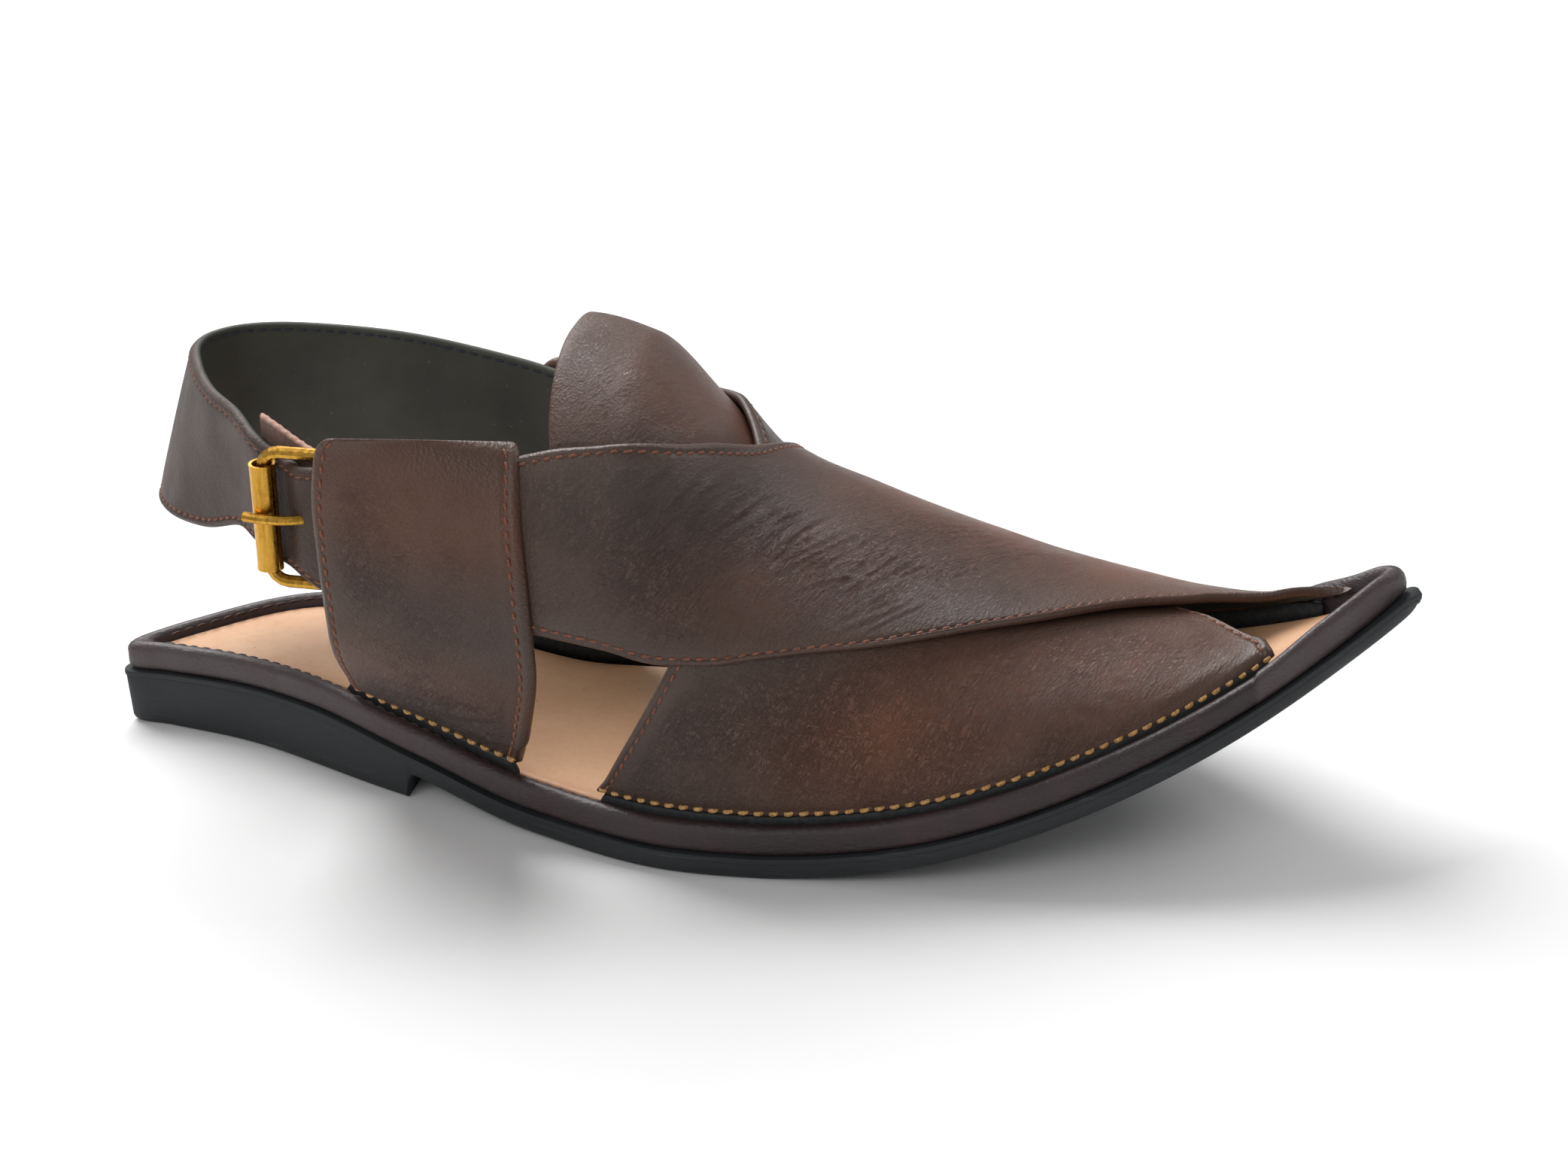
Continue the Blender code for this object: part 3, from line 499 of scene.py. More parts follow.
def welt_leather():
    """Plum-brown wrapped leather, darker toward the toe, finely wrinkled across the edge."""
    m = Nodes("welt_leather", 0.42)
    place = m.place()
    station = m.made("ShaderNodeSeparateXYZ", 0, {0: m.own()})
    base = m.between(station, -0.09, 0.02, (70, 60, 60), (46, 35, 36))
    base = m.tint(base, station, 0.1165, 0.1175, 1.0, (72, 61, 62))
    broad = m.noise(place, 0.09, 3)
    base = m.tint(base, broad, 0.45, 0.75, 0.5, (70, 44, 46))
    wrinkle = m.noise(m.place((0.55, 0.55, 2.4)), 1.0, 4, 0.6, 0.8)
    base = m.tint(base, wrinkle, 0.62, 0.8, 0.25, (120, 108, 110))
    normal = m.bump(m.cells(place, 0.9), 0.16, 0.5, m.bump(wrinkle, 0.35, 0.55))
    normal = m.bump(m.noise(place, 2.6, 3), 0.08, 0.4, normal)
    return m.finish(base, normal, m.grey(broad, 0.3, 0.7, 0.36, 0.50))


def sole_rubber():
    m = Nodes("sole_rubber", 0.66)
    place = m.place()
    broad = m.noise(place, 0.05, 3)
    base = m.between(broad, 0.3, 0.7, (25, 29, 31), (35, 39, 41))
    base = m.tint(base, m.noise(place, 1.3, 4, 0.7), 0.66, 0.78, 0.5, (84, 88, 86))
    base = m.tint(base, m.noise(m.place((0.05, 0.05, 0.9)), 1.0, 4), 0.6, 0.75, 0.25, (78, 82, 82))
    normal = m.bump(m.noise(place, 0.7, 5, 0.65), 0.16, 0.5)
    return m.finish(base, normal, m.grey(broad, 0.3, 0.7, 0.58, 0.74))


def insole_leather():
    m = Nodes("insole_leather", 0.55)
    place = m.place()
    fine = m.noise(place, 0.5, 5, 0.65)
    base = m.between(m.noise(place, 0.03, 3), 0.3, 0.7, (214, 164, 124), (228, 182, 142))
    base = m.tint(base, fine, 0.45, 0.8, 0.35, (196, 144, 104))
    base = m.mix(m.grey(m.cells(place, 0.16), 0.035, 0.055, 0.55, 0.0), base, srgb(120, 84, 60))
    # Painted shade: the insole is darkened along its rim, where it meets the welt and the straps' feet.
    base = m.mix(m.times(m.attribute("edge"), 0.45), base, srgb(170, 116, 80))
    normal = m.bump(m.noise(place, 2.0, 3), 0.05, 0.4, m.bump(fine, 0.12, 0.4))
    return m.finish(base, normal, m.grey(fine, 0.3, 0.7, 0.48, 0.62))


def raw_leather():
    m = Nodes("raw_leather", 0.85)
    fibre = m.noise(m.place((1, 1, 0.4)), 1.4, 5, 0.7, 1.0)
    base = m.between(fibre, 0.3, 0.75, (96, 76, 70), (140, 112, 102))
    base = m.mix(m.attribute("edge"), base, srgb(206, 166, 150))
    return m.finish(base, m.bump(fibre, 0.4, 0.8))


def worn_brass():
    """Brass with vertical rubs and dark scuffs."""
    m = Nodes("worn_brass", 0.3, 1.0)
    rub = m.noise(m.place((1.2, 1.2, 0.12)), 1.0, 4, 0.6)
    spots = m.noise(m.place(), 0.7, 5, 0.7)
    base = m.between(rub, 0.35, 0.7, (206, 160, 70), (178, 128, 46))
    base = m.tint(base, spots, 0.62, 0.72, 0.75, (92, 62, 24))
    normal = m.bump(rub, 0.06, 0.5, m.bump(spots, 0.08, 0.3))
    return m.finish(base, normal, m.grey(spots, 0.4, 0.75, 0.24, 0.5))


def thread(name, light, dark, roughness=0.55):
    """Twisted thread: light and dark plies by place."""
    m = Nodes(name, roughness)
    base = m.between(m.noise(m.place(), 2.4, 2), 0.35, 0.65, dark, light)
    return m.finish(base, m.bump(m.noise(m.place(turn=0.6), 3.0, 2), 0.1, 0.5))


# Painted shade: a near-black material for the shadow in the slots under the straps' feet.
def painted_slot_shadow():
    m = Nodes("painted_slot_shadow", 0.7)
    place = m.place()
    base = m.between(m.noise(place, 0.8, 4), 0.4, 0.75, (30, 33, 36), (52, 52, 52))
    return m.finish(base, m.bump(m.noise(place, 1.2, 3), 0.2, 0.5))


LEATHER = upper_leather()
DARK_LEATHER = upper_leather("strap_leather", 0.5)
LINING = lining_leather()
WELT = welt_leather()
RUBBER = sole_rubber()
TAN = insole_leather()
RAW = raw_leather()
BRASS = worn_brass()
BROWN_THREAD = thread("brown_thread", (142, 88, 62), (92, 54, 38))
GOLD_THREAD = thread("gold_thread", (216, 172, 108), (150, 104, 56), 0.45)
WELT_THREAD = thread("welt_thread", (80, 44, 36), (40, 24, 22))
NAVY_THREAD = thread("navy_thread", (44, 48, 74), (26, 28, 44))


# Meshes

def finish_mesh(name, verts, faces, mats, face_mats=None, attributes=None):
    mesh = bpy.data.meshes.new(name)
    mesh.from_pydata([tuple(v) for v in np.asarray(verts) - ORIGIN], [], faces)
    for mat in mats:
        mesh.materials.append(mat)
    if face_mats is not None:
        mesh.polygons.foreach_set("material_index", np.asarray(face_mats, dtype=np.int32))
    for key, values in (attributes or {}).items():
        values = np.asarray(values, dtype=np.float32)
        kind = "FLOAT_VECTOR" if values.ndim == 2 else "FLOAT"
        layer = mesh.attributes.new(key, kind, "POINT")
        layer.data.foreach_set("vector" if values.ndim == 2 else "value", values.ravel())
    mesh.shade_smooth()
    mesh.update()
    obj = bpy.data.objects.new(name, mesh)
    bpy.context.scene.collection.objects.link(obj)
    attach(obj, "root")
    return obj


def face_outward(obj, angle):
    """Turn a closed piece's faces outward and keep its edges sharp beyond an angle."""
    bm = bmesh.new()
    bm.from_mesh(obj.data)
    bmesh.ops.recalc_face_normals(bm, faces=bm.faces)
    if bm.calc_volume(signed=True) < 0:
        bmesh.ops.reverse_faces(bm, faces=bm.faces)
    bm.to_mesh(obj.data)
    bm.free()
    obj.data.shade_smooth()
    obj.data.set_sharp_from_angle(angle=math.radians(angle))


def grid_faces(rows, cols, offset=0, flip=False):
    i, j = np.meshgrid(np.arange(rows - 1), np.arange(cols - 1), indexing="ij")
    a = (i * cols + j + offset).ravel()
    quad = np.stack([a, a + cols, a + cols + 1, a + 1], axis=1)
    return quad[:, ::-1] if flip else quad


def tube_faces(rings, count, first=0):
    """Quads between rings of points, each ring closed round."""
    return [[a + i, a + (i + 1) % count, a + count + (i + 1) % count, a + count + i]
            for a in range(first, first + (rings - 1) * count, count) for i in range(count)]


def sheet_solid(name, node, base, normal, low, high, fields, mats=(LEATHER, LINING),
                wrap=True):
    """A closed leather piece in a node's place: two faces over one grid, sharing their border.

    Where it is wrapped, the outer leather goes a little way round onto the inner face.
    """
    rows, cols = base.shape[:2]
    outer = base + normal * high[..., None]
    inner = base + normal * low[..., None]
    border = np.ones((rows, cols), bool)
    border[1:-1, 1:-1] = False
    outer[border] = (outer[border] + inner[border]) / 2
    index = np.arange(rows * cols).reshape(rows, cols)
    index[~border] = rows * cols + np.arange((~border).sum())
    mid = cols // 2
    corner = base[9, mid]
    flip = np.sum(np.cross(base[10, mid] - corner, base[9, mid + 1] - corner) * normal[9, mid]) < 0
    under = grid_faces(rows, cols, 0, not flip)
    faces = np.vstack([grid_faces(rows, cols, 0, flip), index.ravel()[under]]).tolist()
    folded = fields["edge"].ravel()[under].mean(axis=1) > 0.05
    tags = [0] * len(under) + (1 - folded * wrap).astype(int).tolist()
    both = {key: np.concatenate([field.reshape(-1, *field.shape[2:]), field[~border]])
            for key, field in fields.items()}
    verts = np.vstack([outer.reshape(-1, 3), inner[~border]])
    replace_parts(finish_mesh(name, verts, faces, mats, tags, both), node)


def fields_of(along, across, near, flex=0.0, warm=0.0):
    """What the leather reads at each point: cloth coordinates, flex, warmth and the worn edge."""
    zero = 0 * near
    return {"cloth": np.stack([along + zero, across + zero, zero], axis=-1), "flex": flex + zero,
            "warm": warm + zero, "edge": bell(near, 0, 0.9)}


def rounded(distance, radius):
    t = np.clip(distance / radius, 0, 1)
    return np.sqrt(np.maximum(1 - (1 - t)**2, 0))


def eased(t):
    return t * t * (3 - 2 * t)


def bell(distance, middle, spread):
    """A soft swelling of height 1 round a distance, its middle and spread in millimetres."""
    return np.exp(-((distance / MM - middle) / spread)**2)


def grows(distance, start, span):
    """From 0 at a distance to 1 a span further on, both in millimetres."""
    return np.clip((distance / MM - start) / span, 0, 1)


def read_at(at, key, rows):
    """Rows of numbers, read between the places of their key."""
    return np.stack([np.interp(at, key, column) for column in rows.T], axis=-1)


def run_of(line):
    """Distance run along a line at each of its points."""
    return np.concatenate([[0], np.cumsum(np.linalg.norm(np.diff(line, axis=0), axis=1))])


def width_of(patch):
    return np.linalg.norm(np.diff(patch, axis=1), axis=2).sum(axis=1)


def even_across(count):
    return np.linspace(0, 1, count)[None, :]


EDGE_STEPS = np.array([0, 0.10, 0.30, 0.60, 0.95, 1.30, 1.62, 1.85, 2.05, 2.25, 2.50, 2.9, 3.5]) * MM
STITCH_INSET = 2.05 * MM


def across_places(width, inner):
    """Places across a strap: dense beside both edges, even between them."""
    edge = np.minimum(EDGE_STEPS[None, :] / width[:, None], 0.30)
    start = edge[:, -1:]
    middle = start + (1 - 2 * start) * np.linspace(0, 1, inner + 2)[None, 1:-1]
    return np.hstack([edge, middle, 1 - edge[:, ::-1]])


def from_edges(width, places):
    """Distances of a strap's places from its first and its last long edge."""
    return places * width[:, None], (1 - places) * width[:, None]


def normals_at(normals, places):
    """The normals of an even grid, read at a strap's own places."""
    even = np.linspace(0, 1, normals.shape[1])
    return unit(np.array([read_at(at, even, row) for at, row in zip(places, normals)]))


def seam_relief(distance, bead=0.14 * MM, groove=0.30 * MM):
    """The folded edge's bead and the groove that a row of stitches pulls in."""
    return bead * bell(distance, 1.1, 0.6) - groove * bell(distance, STITCH_INSET / MM, 0.42)


# Soft troughs of the flexed leather on the foot form: the middle of each family in millimetres
# along the sole and round the section, its direction, number, pitch, length, depth and width.
CROSS_CREASES = [
    # x, arc, turn_deg, count, pitch, length, depth, width
    (172, 60, 52, 14, 2.3, 20, 0.19, 0.60),
    (190, 58, 60, 12, 2.4, 15, 0.15, 0.58),
    (182, 48, 26, 9, 2.3, 24, 0.16, 0.58),
    (156, 70, 60, 10, 3.0, 24, 0.14, 0.75),
    (204, 66, 48, 8, 2.8, 15, 0.14, 0.62),
    (165, 56, -35, 5, 4.0, 12, 0.08, 0.70),
    (140, 64, 72, 4, 6.0, 24, 0.10, 1.30),
    (150, 150, -50, 6, 7.0, 30, 0.20, 1.40),
]
UNDER_CREASES = [
    (176, 22, -48, 8, 2.8, 14, 0.24, 0.75),
    (198, 18, -55, 8, 3.2, 14, 0.20, 0.75),
    (232, 12, -50, 8, 3.2, 13, 0.20, 0.75),
    (214, 16, -40, 5, 4.0, 14, 0.10, 0.90),
    (150, 14, -35, 3, 6.0, 14, 0.08, 1.20),
]
BAND_CREASES = [
    (92, 12, 6, 5, 3.2, 28, 0.42, 1.10),
    (84, 20, -16, 3, 4.4, 22, 0.18, 1.30),
    (100, 8, 14, 3, 2.6, 16, 0.34, 0.80),
    (86, 60, -40, 4, 6.0, 24, 0.07, 1.60),
]
TONGUE_CREASES = [
    (124, 74, 15, 5, 3.6, 20, 0.14, 1.00),
    (118, 66, 10, 5, 3.2, 16, 0.15, 0.90),
    (140, 90, 60, 3, 8.0, 26, 0.08, 1.80),
]
# Spots of burnish and of flexing, in the same millimetres: amount, x, arc and reach both ways.
CROSS_WARM = [(0.9, 205, 88, 34, 26), (0.85, 250, 60, 34, 24), (0.4, 166, 52, 30, 12), (0.35, 140, 120, 30, 20)]
CROSS_FLEX = [(1.0, 172, 58, 34, 20), (0.6, 200, 62, 22, 18), (0.45, 140, 72, 24, 16), (0.4, 150, 150, 40, 30)]
UNDER_WARM = [(0.85, 192, 18, 26, 14), (0.55, 246, 14, 24, 14), (0.3, 220, 26, 30, 12)]
UNDER_FLEX = [(1.0, 184, 20, 28, 14), (0.75, 234, 14, 26, 12), (0.3, 150, 18, 20, 12)]
BAND_WARM = [(0.5, 92, 62, 30, 14), (0.35, 86, 22, 34, 9)]
BAND_FLEX = [(0.9, 90, 12, 30, 12), (0.35, 80, 52, 20, 20)]
TONGUE_WARM = [(0.55, 150, 105, 20, 26)]
TONGUE_FLEX = [(0.6, 122, 70, 18, 16)]


def spots(x, arc, table):
    return sum(a * np.exp(-((x / MM - cx) / rx)**2 - ((arc / MM - ca) / ra)**2) for a, cx, ca, rx, ra in table)


def wobble(k, seed):
    return math.sin(12.9898 * (k + 1) + 78.233 * seed) * 0.5 + math.sin(4.1414 * (k + 3) * seed) * 0.5


def creases(x, arc, families):
    """Depth of the listed creases at points given along the sole and round the section."""
    total = np.zeros_like(x)
    for f, (cx, ca, turn, count, pitch, length, depth, width) in enumerate(families):
        for k in range(count):
            turned = math.radians(turn + 11 * wobble(k, f + 1.3))
            shift = (k - (count - 1) / 2) * pitch * (1 + 0.22 * wobble(k, f + 2.1))
            slide = 0.22 * length * wobble(k, f + 3.7)
            dx, da = x / MM - cx, arc / MM - ca
            along = dx * math.cos(turned) + da * math.sin(turned) - slide
            aside = -dx * math.sin(turned) + da * math.cos(turned) - shift
            bow = 0.9 * np.sin(along / length * 5.0 + 2 * wobble(k, f + 4.9))
            aside = aside + bow + 0.004 * along**2 * wobble(k, f + 5.3)
            reach = length * (0.75 + 0.25 * wobble(k, f + 6.1))
            fade = np.clip(1 - (along / (reach / 2))**2, 0, 1)**1.2
            w = width * (0.85 + 0.3 * abs(wobble(k, f + 7.7)))
            cut = -np.exp(-(aside / w)**2)
            ridge = 0.45 * np.exp(-((np.abs(aside) - 1.9 * w) / w)**2)
            total += depth * (cut + ridge) * fade
    return total * MM


Face = namedtuple("Face", "points normals heights width places")


def along_edge(face, inset, last):
    """The line on a face at an inset from one of its long edges, and the way up from it."""
    line, up = [], []
    for points, normals, heights, width, places in zip(*face):
        at = 1 - inset / width if last else inset / width
        norm = unit(read_at(at, places, normals))
        line.append(read_at(at, places, points) + norm * np.interp(at, places, heights))
        up.append(norm)
    return np.array(line), np.array(up)


def stitch_row(name, line, up, pitch, length, thick, mat, start=0.0, end=0.0, raised=0.1 * MM, slant=0.0):
    """A row of stitches, each a short rounded length of thread pulled down at its ends."""
    where = run_of(line)
    total = where[-1] - start - end
    count = max(int(total / pitch), 1)
    verts, faces = [], []
    ring, segs = 8, 7
    for k in range(count):
        mid = start + (k + 0.5) * total / count
        size = length * (1 + 0.10 * wobble(k, 2.7))
        centre, a, b = (read_at(mid + way * size / 2, where, line) for way in (0, -1, 1))
        t = unit(b - a)
        s = unit(np.cross(read_at(mid, where, up), t))
        n = np.cross(t, s)
        lean = slant * (1 + 0.3 * wobble(k, 5.1))
        first = len(verts)
        for i in range(segs + 1):
            u = -1 + 2 * i / segs
            radius = thick / 2 * math.sqrt(max(1 - u**4, 0.02))
            middle = centre + (t + lean * s) * u * size / 2 + n * (raised - 0.38 * thick * u * u)
            for j in range(ring):
                angle = 2 * math.pi * j / ring
                verts.append(middle + radius * (s * math.cos(angle) + 0.8 * n * math.sin(angle)))
        faces += tube_faces(segs + 1, ring, first)
        faces.append([first + j for j in range(ring)][::-1])
        faces.append([first + segs * ring + j for j in range(ring)])
    finish_mesh(name, verts, faces, [mat])


def edge_stitches(name, face, last, start, end, pitch=2.9 * MM, inset=STITCH_INSET):
    line, up = along_edge(face, inset, last)
    stitch_row(name, line, up, pitch, 0.80 * pitch, 0.78 * MM, BROWN_THREAD, start, end, 0.14 * MM, 0.12)


def foot_stitches(name, face, row, rise, pitch, length, thick, raised, margin=0.0, trim=0.0):
    """Thick gold stitches along a foot, on one row of its face."""
    up = face.normals[row]
    line = face.points[row] + up * face.heights[row][:, None] + np.array([0, 0, rise])
    kept = slice(int(len(line) * trim), int(len(line) * (1 - trim)))
    stitch_row(name, line[kept], up[kept], pitch, length, thick, GOLD_THREAD, margin, margin, raised, 0.10)


# Straps, bands and tongue
FOOT_EDGE = 1.0 * MM
END_TUCK = 0.06
CORNER_ROUND = 4.6 * MM
TOP_LEVEL = 14 * MM
TOP_REAR_RISE = 2.4 * MM
TOP_FRONT_FALL = 2.6 * MM
FRONT_STITCH = 3.3 * MM
REAR_STITCH = 1.9 * MM
TONGUE_LENGTH = 72 * MM
TONGUE_HALF = 46 * MM
TONGUE_STEPS = np.array([0, 0.1, 0.3, 0.6, 1.0, 1.5, 2.2]) * MM
BAND_TOP_STEPS = np.array([3.6, 2.6, 1.9, 1.3, 0.8, 0.4, 0.15, 0]) / 74
BAND_RISES = np.concatenate([np.linspace(0.018, 0.93, 120), 1 - BAND_TOP_STEPS])
# How far forward the lateral band's rear edge stands, in millimetres, by its share of the rise.
REAR_FORWARD = ([0, 0.06, 0.18, 0.36, 0.55, 0.8, 1], [1.0, 3.6, 5.0, 4.4, 3.0, 0.6, 0])


def vamp_strap(name, table, mirrored, layer, lift, families, warm_spots, flex_spots):
    """One vamp strap in fine detail over the same patch as its solid."""
    u = np.linspace(0, 1, 320)
    along = u[:, None]
    rear_s, rear_a, front_s, front_a = smooth_rows(table, u).T[:, :, None]
    tuck = END_TUCK * np.clip(1 - along / 0.045, 0, 1)

    def patch(v):
        v = v + tuck * (1 - v)
        x = (rear_s + (front_s - rear_s) * v) * SOLE_LENGTH
        arc = rear_a + (front_a - rear_a) * v
        arc = 1 - arc if mirrored else arc
        point, length = form_at(x, arc)
        return point, x, arc * length

    width = width_of(patch(even_across(24))[0])
    places = across_places(width, 96)
    base, x, arc = patch(places)
    even = patch(even_across(61))[0]
    normals = normals_of(even)
    normals *= np.sign(normals[:, :, 2].sum())
    run = unit(np.gradient(even[-1, :, :2], axis=0))
    side = (-1 if mirrored else 1) * np.sign(run[:, :1])
    level = np.column_stack([-side * run[:, 1:], side * run[:, :1], 0 * run[:, :1]])
    blend = np.clip((along - 0.97) / 0.03, 0, 1)[..., None]
    normal = normals_at(normals * (1 - blend) + level[None] * blend, places)

    under = layer * eased(np.clip((1 - along) / 0.16, 0, 1))
    under = under + lift * places**3 * np.sin(np.pi * np.clip((along - 0.2) / 0.75, 0, 1))
    under = under - 1.0 * MM * np.clip(1 - along / 0.04, 0, 1)
    run_up = np.linalg.norm(np.diff(base, axis=0), axis=2)
    from_foot = np.vstack([np.cumsum(run_up[::-1], axis=0)[::-1], np.zeros((1, base.shape[1]))])
    from_side = np.minimum(*from_edges(width, places))
    near = np.minimum(from_side, from_foot + 0.35 * MM)
    prof = rounded(near, 0.62 * STRAP_WALL)
    half = STRAP_WALL / 2
    calm = grows(from_side, 2.6, 5)
    relief = seam_relief(from_side) + creases(x, arc, families) * calm - 0.25 * MM * bell(from_foot, 2.2, 1.2)
    high = under + half + (half + relief) * prof
    low = under + half - half * prof
    warm = np.clip(spots(x, arc, warm_spots), 0, 1)
    flex = np.clip(0.10 + spots(x, arc, flex_spots), 0, 1) * calm
    # The foot edge ends a little above the welt's crest, over a dark sheet that stands for the shadow in the
    # slot: painted shade.
    base[..., 2] += FOOT_EDGE * (1 - grows(from_foot, 0, 6))
    sheet_solid(name, "upper", base, normal, low, high, fields_of(x, arc, near, flex, warm))
    return Face(base, normal, high, width, places)


def side_band(name, table, side, top, lapped):
    """One side band in fine detail over the same surface as its solid."""
    sign = -1 if side == 0 else 1
    foot = slot_sides(FOOT_INSET)[side]
    rise = BAND_RISES[:, None]
    rear, front, lean = smooth_rows(table, BAND_RISES).T
    ends = np.stack([rear, front], axis=1) * SOLE_LENGTH
    if side == 0:
        ends[:, 0] += np.interp(BAND_RISES, *REAR_FORWARD) * MM

    def near_top(reach):
        """1 at the top edge and 0 from a reach below it."""
        return np.clip(1 - (1 - BAND_RISES) * (top - welt_crest(ends[:, 0])) / reach, 0, 1)

    corner = CORNER_ROUND * (1 - np.sqrt(np.maximum(1 - near_top(CORNER_ROUND)**2, 0)))
    ends[:, 0] += corner
    ends[:, 1] -= 0.45 * corner
    y_foot = side_at(foot, ends)
    z_front = welt_crest(ends[:, 1]) * (1 - BAND_RISES) + top * BAND_RISES
    y_front = np.zeros(len(BAND_RISES))
    for i, x_front in enumerate(ends[:, 1]):
        section, _ = form_at(np.full(200, x_front), np.linspace(side, 0.5, 200))
        y_front[i] = np.interp(z_front[i], section[:, 2], section[:, 1])
    y_front += sign * (lapped - LAP_SINK + BAND_WALL)
    ease = np.minimum(BAND_RISES / 0.12, 1)
    y_rear = y_foot[:, 0] + sign * lean * BALL_WIDTH
    y_front = y_foot[:, 1] + (y_front - y_foot[:, 1]) * ease

    def patch(v):
        x = ends[:, :1] + (ends[:, 1:] - ends[:, :1]) * v
        bow = side_at(foot, x) - (y_foot[:, :1] + (y_foot[:, 1:] - y_foot[:, :1]) * v)
        y = y_rear[:, None] + (y_front - y_rear)[:, None] * v + bow * (1 - ease)[:, None]
        z = welt_crest(x) * (1 - rise) + top * rise
        if side == 0:
            z = z + (TOP_REAR_RISE * (1 - v) - TOP_FRONT_FALL * v) * rise**4
        return np.stack([x, y, z], axis=-1)

    width = width_of(patch(even_across(24)))
    places = across_places(width, 48)
    base = patch(places)
    normals = normals_of(patch(even_across(31)))
    normal = normals_at(normals * sign * np.sign(normals[:, :, 1].sum()), places)
    normal[..., 2] *= 1 - eased(near_top(TOP_LEVEL))[:, None]
    normal = unit(normal)

    x = base[..., 0]
    from_rear, from_front = from_edges(width, places)
    span = top - welt_crest(x[:1])
    from_top, from_foot = (1 - rise) * span, rise * span
    from_side = np.minimum(from_rear, from_front)
    near = np.minimum(from_side, np.minimum(from_top, from_foot - 0.9 * MM))
    prof = rounded(near, 0.72 * BAND_WALL)
    half = BAND_WALL / 2
    calm = grows(from_side, 2.6, 5) * grows(from_top, 3, 8)
    rim = 0.26 * bell(from_front, 1.6, 1.1) + 0.16 * bell(from_rear, 0.9, 0.6)
    groove = 0.34 * bell(from_front, FRONT_STITCH / MM, 0.45) + 0.30 * bell(from_rear, REAR_STITCH / MM, 0.42)
    relief = (rim - groove - 0.3 * bell(from_foot, 3.2, 1.3)) * MM + creases(x, from_foot, BAND_CREASES) * calm
    high = -half + half * prof * (0.35 + 0.65 * rounded(from_top, 4.2 * MM)) + relief * prof
    low = -half - half * prof
    flex = np.clip(0.10 + spots(x, from_foot, BAND_FLEX), 0, 1) * calm
    fields = fields_of(x, from_foot, near, flex, spots(x, from_foot, BAND_WARM))
    sheet_solid(name, "upper", base, normal, low, high, fields)
    return Face(base, normal, high, width, places)


def build_upper():
    lap = STRAP_WALL - LAP_SINK
    cross = vamp_strap("cross_strap", CROSS_STRAP, False, lap, FRONT_LIFT, CROSS_CREASES, CROSS_WARM, CROSS_FLEX)
    under = vamp_strap("under_strap", UNDER_STRAP, True, 0.0, 0.0, UNDER_CREASES, UNDER_WARM, UNDER_FLEX)
    lateral = side_band("lateral_band", LATERAL_BAND, 0, LATERAL_BAND_TOP, lap + STRAP_WALL)
    medial = side_band("medial_band", MEDIAL_BAND, 1, MEDIAL_BAND_TOP, STRAP_WALL)
    for strap, face in (("cross", cross), ("under", under)):
        edge_stitches(f"stitch_{strap}_rear", face, False, 6 * MM, 2 * MM)
        edge_stitches(f"stitch_{strap}_front", face, True, 6 * MM, 2 * MM)
    for side, face in (("lateral", lateral), ("medial", medial)):
        edge_stitches(f"stitch_{side}_rear", face, False, 3 * MM, 2.5 * MM, inset=REAR_STITCH)
        edge_stitches(f"stitch_{side}_front", face, True, 3 * MM, 2.5 * MM, inset=FRONT_STITCH)
        foot_stitches(f"stitch_{side}_foot", face, 2, 0.5 * MM, 3.4 * MM, 2.8 * MM, 1.55 * MM, 0.42 * MM, 1 * MM)
    for strap, face in (("under", under), ("cross", cross)):
        foot_stitches(f"stitch_{strap}_foot", face, -3, 0.15 * MM, 3.3 * MM, 2.4 * MM, 1.1 * MM, 0.22 * MM,
                      trim=0.02)


# Painted shade: dark sheets in the slots, standing for their shadow. Side, rear and front stations, and the taper
# of the front end.
SLOT_SHADOWS = {
    "slot_shadow_lateral_band": (0, 0.200, 0.352, 2 * MM),
    "slot_shadow_medial_band": (1, 0.233, 0.393, 2 * MM),
    "slot_shadow_under_strap": (0, 0.422, 0.896, 2 * MM),
    "slot_shadow_cross_strap": (1, 0.442, 0.928, 12 * MM),
}


def build_slot_shadows():
    """A dark sheet that shows under the straps' and bands' feet, standing for the shadow in the slots: painted
    shade.
    """
    shadow_mat = painted_slot_shadow()
    for name, (side, rear, front, taper) in SLOT_SHADOWS.items():
        outer = slot_sides(FOOT_INSET - 0.12 * MM)[side]
        inner = slot_sides(FOOT_INSET + 2.0 * MM)[side]
        xs = np.linspace(rear, front, 120) * SOLE_LENGTH
        verts = []
        for x in xs:
            floor = recess_floor(x) + GAP
            ends = min((x - xs[0]) / (2 * MM), (xs[-1] - x) / taper, 1)
            crest = welt_crest(x) - 2.2 * MM * (1 - ends)**2
            yo, yi = side_at(outer, x), side_at(inner, x)
            way = 1 if yi > yo else -1
            verts += [(x, yi, floor), (x, yo, floor), (x, yo, crest + 0.7 * MM),
                      (x, yo + way * 0.3 * MM, crest + 1.1 * MM), (x, yi, crest + 1.1 * MM)]
        last = 5 * (len(xs) - 1)
        faces = tube_faces(len(xs), 5) + [[4, 3, 2, 1, 0], [last + k for k in range(5)]]
        if side == 1:
            faces = [face[::-1] for face in faces]
        finish_mesh(name, np.array(verts, float), faces, [shadow_mat])


